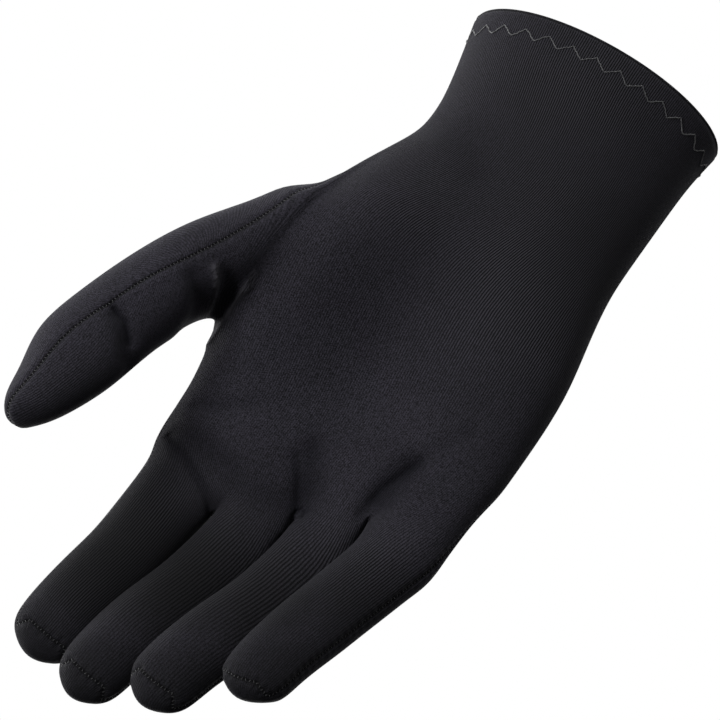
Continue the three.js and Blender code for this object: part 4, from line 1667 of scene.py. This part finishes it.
class ClothTone(GroupShader):
    """Colour of the dyed knit with its uneven tone, painted highlights on opened rib crests and
    ridges, and painted shade by the seams, in folds and on darkened spots.

    seam_shadow holds distances from the seam. gap_share is how far the gaps between ribs show: on
    closed cloth, what opening adds, and what patches add. roughness is the least and what is added.
    """

    name = "ClothTone"
    inputs = (("Place", Socket.VECTOR), ("Yarn", Socket.COLOUR), ("Bloom", Socket.COLOUR),
              ("Gap", Socket.COLOUR), ("Rib", Socket.FLOAT), ("Loop", Socket.FLOAT),
              ("Opened", Socket.FLOAT), ("Darkened", Socket.FLOAT), ("Seam Distance", Socket.FLOAT),
              ("Crease", Socket.FLOAT))
    outputs = (("Colour", Socket.COLOUR), ("Roughness", Socket.FLOAT))
    broad = Patches(30.0, 3.0, 0.3, 0.7)
    heather = Patches(1300.0, 2.0, 0.35, 0.7)
    speckle = Patches(2500.0, 1.0, 0.42, 0.66)
    zones = Patches(22.0, 2.0, 0.35, 0.65)
    seam_shadow = (0.25 * MM, 0.8 * MM)
    gap_share = (0.22, 1.2, 0.25)
    roughness = (0.72, 0.12)
    # Painted highlight on the crests of opened ribs, mixed from the lighter yarn tone.
    crest_highlight = (0.08, 0.08, 0.08, 1)
    crest_highlight_share = 0.35
    # Tone of the darkened spots: darker drawn-out knit, and painted shade.
    stretched_and_shaded = (0.002, 0.0022, 0.002, 1)
    hole = (0.0012, 0.0012, 0.0015, 1)
    seam_dark = (0.002, 0.002, 0.0022, 1)
    # Painted shade in the folds and painted highlight on the ridges.
    painted_fold_shade = (0.0015, 0.0015, 0.003, 1)
    painted_ridge_highlight = (0.06, 0.058, 0.066, 1)

    def fill(self) -> None:
        """Lays the tones over each other, each with its mask and how strong it is at most."""
        n, read = self.nodes, self.start.outputs
        place, rib, opened, crease = read["Place"], read["Rib"], read["Opened"], read["Crease"]
        heather = n.patches(place, self.heather)
        base, by_opening, by_zone = self.gap_share
        clear = n.math("MULTIPLY_ADD", opened, by_opening, base)
        clear = n.math("MULTIPLY_ADD", n.patches(place, self.zones), by_zone, clear, clamp=True)
        layers = (
            (n.patches(place, self.broad), 0.35, read["Bloom"]),
            (heather, 0.6, read["Bloom"]),
            (n.patches(place, self.speckle), 0.75, read["Gap"]),
            (n.math("SUBTRACT", 1.0, read["Loop"]), 0.3, read["Gap"]),
            # Painted highlight: the rib crests are lightened where the knit is opened.
            (n.math("MULTIPLY", rib, opened), 0.9, n.blend(self.crest_highlight_share, read["Bloom"], self.crest_highlight)),
            # Darkened spots: the darker tone of drawn-out knit, with painted shade over the fingers,
            # the ulnar side and the wrist.
            (read["Darkened"], 0.86, self.stretched_and_shaded),
            (n.math("MULTIPLY", n.math("SUBTRACT", 1.0, rib), clear), 1.0, self.hole),
            # Painted shade in the seam's groove, fading out with the distance from the seam.
            (n.math("SUBTRACT", 1.0, n.ramp(read["Seam Distance"], *self.seam_shadow)), 0.85,
             self.seam_dark),
            # Painted shade where the cloth is pressed in, painted highlight where it stands up.
            (crease, 0.6, self.painted_fold_shade),
            (crease, -0.8, self.painted_ridge_highlight),
        )
        colour = read["Yarn"]
        for mask, most, tone in layers:
            colour = n.blend(n.math("MULTIPLY", mask, most, clamp=True), colour, tone)
        smooth, rougher = self.roughness
        n.feed(self.end, {"Colour": colour,
                          "Roughness": n.math("MULTIPLY_ADD", heather, rougher, smooth)})


class PressedLine(GroupShader):
    """Soft line between two places of the front view."""

    name = "PressedLine"
    inputs = (("Place", Socket.VECTOR), ("Start", Socket.VECTOR), ("Run", Socket.VECTOR),
              ("Width", Socket.FLOAT))
    outputs = (("Mask", Socket.FLOAT),)

    def fill(self) -> None:
        """Draws a bell curve over the distance from the line."""
        n, start, end = self.nodes, self.start, self.end
        front = n.vector("MULTIPLY", start.outputs["Place"], (1, 0, 1))
        out = n.vector("SUBTRACT", front, start.outputs["Start"])
        run = start.outputs["Run"]
        share = n.math("DIVIDE", n.vector("DOT_PRODUCT", out, run), n.vector("DOT_PRODUCT", run, run),
                       clamp=True)
        scaled = n.add("ShaderNodeVectorMath", operation="SCALE")
        n.put(run, scaled.inputs[0])
        n.put(share, scaled.inputs["Scale"])
        away = n.vector("LENGTH", n.vector("SUBTRACT", out, scaled.outputs[0]))
        bell = n.math("POWER", n.math("DIVIDE", away, start.outputs["Width"]), 2.0)
        n.put(n.math("EXPONENT", n.math("MULTIPLY", bell, -1.0)), end.inputs["Mask"])


class SeamPucker(GroupShader):
    """Small ripples that the stitches pull into the cloth beside a seam."""

    name = "SeamPucker"
    inputs = (("Along", Socket.FLOAT), ("Distance", Socket.FLOAT))
    outputs = (("Height", Socket.FLOAT),)
    ripple = 2.9 * MM
    fading = (0.6 * MM, 3.4 * MM)

    def fill(self) -> None:
        """Draws ripples along the seam that fade away from it."""
        n, read = self.nodes, self.start.outputs
        wave = n.math("SINE", n.math("MULTIPLY", read["Along"], 2 * math.pi / self.ripple))
        fade = n.math("SUBTRACT", 1.0, n.ramp(read["Distance"], *self.fading))
        n.put(n.math("MULTIPLY", wave, fade), self.end.inputs["Height"])


@dataclass(frozen=True)
class KnitGroups:
    """Node groups that every knitted finish shares."""

    relief: KnitRelief
    tone: ClothTone
    pucker: SeamPucker
    line: PressedLine


@dataclass(frozen=True)
class KnitFinish:
    """Finish of one knitted piece. Each bump holds its strength and its height in metres."""

    name: str
    yarn: Colour
    bloom: Colour
    gap: Colour = (0.002, 0.002, 0.0025, 1)
    rib_pitch: float = 0.66 * MM
    loop_pitch: float = 0.55 * MM
    stretching: tuple[float, float] = (1.0, 1.7)
    fold_bump: tuple[float, float] = (1.0, 1 * MM)
    pucker_bump: tuple[float, float] = (0.5, 0.25 * MM)
    knit_bump: tuple[float, float] = (0.55, 0.16 * MM)
    # Share of the fine pressed lines' depth that goes into the painted fold shade and ridge highlight.
    fold_shade: float = 0.7
    specular: float = 0.08
    sheen: float = 0.06
    sheen_roughness: float = 0.45
    sheen_tint: Colour = (0.86, 0.86, 0.95, 1)

    def _pressed(self, n: Nodes, line: PressedLine, place: object, sizes: HandSizes) -> object:
        """Adds up the fine folds.

        Args:
            n: Nodes of the material.
            line: Group that draws one line.
            place: Where it is read.
            sizes: Sizes that the folds follow.

        Returns:
            Their depth in millimetres, a ridge below zero.
        """
        total: object = 0.0
        for fold in PRESSED_LINES:
            path = [(x * sizes.palm_breadth, 0.0, z * sizes.palm_length) for x, z in fold.path]
            mask: object = 0.0
            for a, b in zip(path, path[1:]):
                run = (b[0] - a[0], 0.0, b[2] - a[2])
                part = line.use(n, {"Place": place, "Start": a, "Run": run, "Width": fold.width})
                mask = n.math("MAXIMUM", part.outputs["Mask"], mask)
            total = n.math("MULTIPLY_ADD", mask, fold.depth / MM, total)
        return total

    def make(self, groups: KnitGroups, sizes: HandSizes) -> bpy.types.Material:
        """Makes the material.

        Args:
            groups: Its node groups.
            sizes: Sizes that the folds follow.

        Returns:
            The material.
        """
        material, n, shader = new_material(self.name)
        place = n.add("ShaderNodeTexCoord").outputs["Object"]
        read = {name: n.add("ShaderNodeAttribute", attribute_name=name).outputs["Fac"]
                for name in CLOTH_VALUES}
        pressed = n.math("MULTIPLY", self._pressed(n, groups.line, place, sizes), read["front"])
        knit = groups.relief.use(n, {
            "Flat": n.add("ShaderNodeUVMap", uv_map="flat").outputs[0], "Place": place,
            "Rib Pitch": self.rib_pitch, "Loop Pitch": self.loop_pitch,
            "Stretch": n.ramp(read["stretch"], *self.stretching)})
        # Crease carries the painted shade and highlight of the folds and of the fine pressed lines.
        cloth = groups.tone.use(n, {
            "Place": place, "Yarn": self.yarn, "Bloom": self.bloom, "Gap": self.gap,
            "Rib": knit.outputs["Rib"], "Loop": knit.outputs["Loop"], "Opened": read["opened"],
            "Darkened": read["darkened"], "Seam Distance": read["seam_distance"],
            "Crease": n.math("MULTIPLY_ADD", pressed, self.fold_shade, read["crease"])})
        ripple = groups.pucker.use(n, {"Along": read["seam_along"], "Distance": read["seam_distance"]})
        normal: dict[str, object] = {}
        for height, (strength, distance) in (
                (n.math("MULTIPLY", pressed, -1.0), self.fold_bump),
                (ripple.outputs["Height"], self.pucker_bump),
                (knit.outputs["Height"], self.knit_bump)):
            bumped = n.feed(n.add("ShaderNodeBump"),
                            {"Strength": strength, "Distance": distance, "Height": height, **normal})
            normal = {"Normal": bumped.outputs["Normal"]}
        n.feed(shader, {
            "Base Color": cloth.outputs["Colour"], "Roughness": cloth.outputs["Roughness"],
            "Specular IOR Level": self.specular, "Sheen Weight": self.sheen,
            "Sheen Roughness": self.sheen_roughness, "Sheen Tint": self.sheen_tint, **normal})
        return material


@dataclass(frozen=True)
class ThreadFinish:
    """Finish of the sewing thread."""

    name: str
    colour: Colour
    roughness: float = 0.5
    worn_scale: float = 1500.0
    worn_share: float = 0.6
    sheen: float = 0.3

    def make(self) -> bpy.types.Material:
        """Makes the material.

        Returns:
            The material.
        """
        material, n, shader = new_material(self.name)
        place = n.add("ShaderNodeTexCoord").outputs["Object"]
        worn = (*(self.worn_share * c for c in self.colour[:3]), 1)
        n.feed(shader, {"Base Color": n.blend(n.noise(place, self.worn_scale), self.colour, worn),
                        "Roughness": self.roughness, "Sheen Weight": self.sheen})
        return material


@dataclass(frozen=True)
class AreaLamp:
    """One soft lamp, placed by its direction from the liner."""

    name: str
    direction: tuple[float, float, float]
    distance: float
    size: float
    power: float

    def place(self, target: Vector) -> None:
        """Adds the lamp.

        Args:
            target: Where it points.
        """
        lamp = bpy.data.lights.new(self.name, "AREA")
        lamp.energy = self.power
        lamp.size = self.size
        holder = bpy.data.objects.new(self.name, lamp)
        towards = Vector(self.direction).normalized()
        holder.location = target + towards * self.distance
        holder.rotation_euler = towards.to_track_quat("Z", "Y").to_euler()
        bpy.context.scene.collection.objects.link(holder)


class Studio:
    """Plain pale floor, soft light and the camera at the photograph's angle."""

    target = Vector((0.0193, 0.0103, 0.1075))
    frame_width = 0.2052
    elevation = 25.0
    turn = 150.0
    lens = 900.0
    sensor = 36.0
    far_limit = 50.0
    floor_drop = 0.45
    floor_reach = 8.0
    floor_white = (0.8, 0.8, 0.8, 1)
    room_white = (1, 1, 1, 1)
    room_light = 0.09
    lamps = (
        AreaLamp("key", (0.8, -0.87, 0.34), 1.6, 0.6, 28.0),
        AreaLamp("rim", (0.9, 0.5, 0.1), 1.5, 0.8, 20.0),
        AreaLamp("behind", (-0.1, 1.0, 0.1), 1.8, 1.0, 12.0),
    )

    def build(self) -> None:
        """Adds the floor, the light and the camera."""
        self._floor()
        self._world()
        for lamp in self.lamps:
            lamp.place(self.target)
        self._camera()

    def _floor(self) -> None:
        """Adds a wide pale floor below the liner."""
        half = self.floor_reach
        mesh = bpy.data.meshes.new("floor")
        corners = [(-half, -half, 0), (half, -half, 0), (half, half, 0), (-half, half, 0)]
        mesh.from_pydata(corners, [], [(0, 1, 2, 3)])
        floor = bpy.data.objects.new("floor", mesh)
        floor.location.z = -self.floor_drop
        material, n, shader = new_material("floor")
        n.feed(shader, {"Base Color": self.floor_white, "Roughness": 1.0, "Specular IOR Level": 0.0})
        mixed = n.add("ShaderNodeMixShader")
        seen = n.add("ShaderNodeLightPath").outputs["Is Camera Ray"]
        for k, source in enumerate((seen, shader.outputs[0], n.add("ShaderNodeEmission").outputs[0])):
            n.put(source, mixed.inputs[k])
        n.put(mixed.outputs[0], n.tree.nodes["Material Output"].inputs["Surface"])
        mesh.materials.append(material)
        bpy.context.scene.collection.objects.link(floor)

    def _world(self) -> None:
        """Lights the room evenly."""
        world = bpy.data.worlds.new("room")
        world.use_nodes = True
        Nodes(world.node_tree).feed(world.node_tree.nodes["Background"],
                                    {"Color": self.room_white, "Strength": self.room_light})
        bpy.context.scene.world = world
        bpy.context.scene.view_settings.view_transform = "Standard"

    def _camera(self) -> None:
        """Places the camera."""
        camera = bpy.data.cameras.new("camera")
        camera.sensor_width = self.sensor
        camera.lens = self.lens
        camera.clip_end = self.far_limit
        distance = self.frame_width * self.lens / self.sensor
        lift = math.radians(self.elevation)
        turned = math.radians(self.turn)
        across = Vector((1, 0, 0))
        up = Vector((0, math.sin(lift), math.cos(lift)))
        right = across * math.cos(turned) - up * math.sin(turned)
        top = across * math.sin(turned) + up * math.cos(turned)
        back = right.cross(top)
        holder = bpy.data.objects.new("camera", camera)
        rotation = Matrix((right, top, back)).transposed().to_4x4()
        holder.matrix_world = Matrix.Translation(self.target + back * distance) @ rotation
        bpy.context.scene.collection.objects.link(holder)
        bpy.context.scene.camera = holder


def main() -> None:
    """Builds the liner piece by piece, then the studio."""
    sizes = HandSizes()
    surface = ClothSurface(sizes, FULL_LEVELS)
    groups = KnitGroups(KnitRelief(), ClothTone(), SeamPucker(), PressedLine())
    knit, hem_knit = (finish.make(groups, sizes) for finish in (
        KnitFinish("knit", yarn=(0.021, 0.0198, 0.0262, 1), bloom=(0.045, 0.042, 0.056, 1)),
        KnitFinish("hem_knit", yarn=(0.013, 0.0125, 0.0155, 1), bloom=(0.028, 0.027, 0.033, 1))))
    seam_thread = ThreadFinish("seam_thread", colour=(0.013, 0.013, 0.015, 1)).make()
    hem_thread = ThreadFinish("hem_thread", colour=(0.034, 0.034, 0.037, 1)).make()

    hem = CuffHem(surface).build(hem_knit)
    panels = {panel: ClothPanel(surface, panel).build(knit) for panel in Panel}
    stitches = SeamStitches(surface).build(seam_thread)
    zigzag = HemZigzag(surface).build(hem_thread)

    for piece, node in ((panels[Panel.PALM], "palm_panel"), (panels[Panel.BACK], "back_panel"),
                        (hem, "cuff_hem")):
        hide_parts(node)
        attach(piece, "root")
    for piece in (stitches, zigzag):
        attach(piece, "root")
    for piece in (*panels.values(), hem, stitches, zigzag):
        LOG.info("%s: %d faces", piece.name, len(piece.data.polygons))
    Studio().build()


if __name__ == "__main__":
    logging.basicConfig(level=logging.INFO, format="%(name)s: %(message)s")
    main()
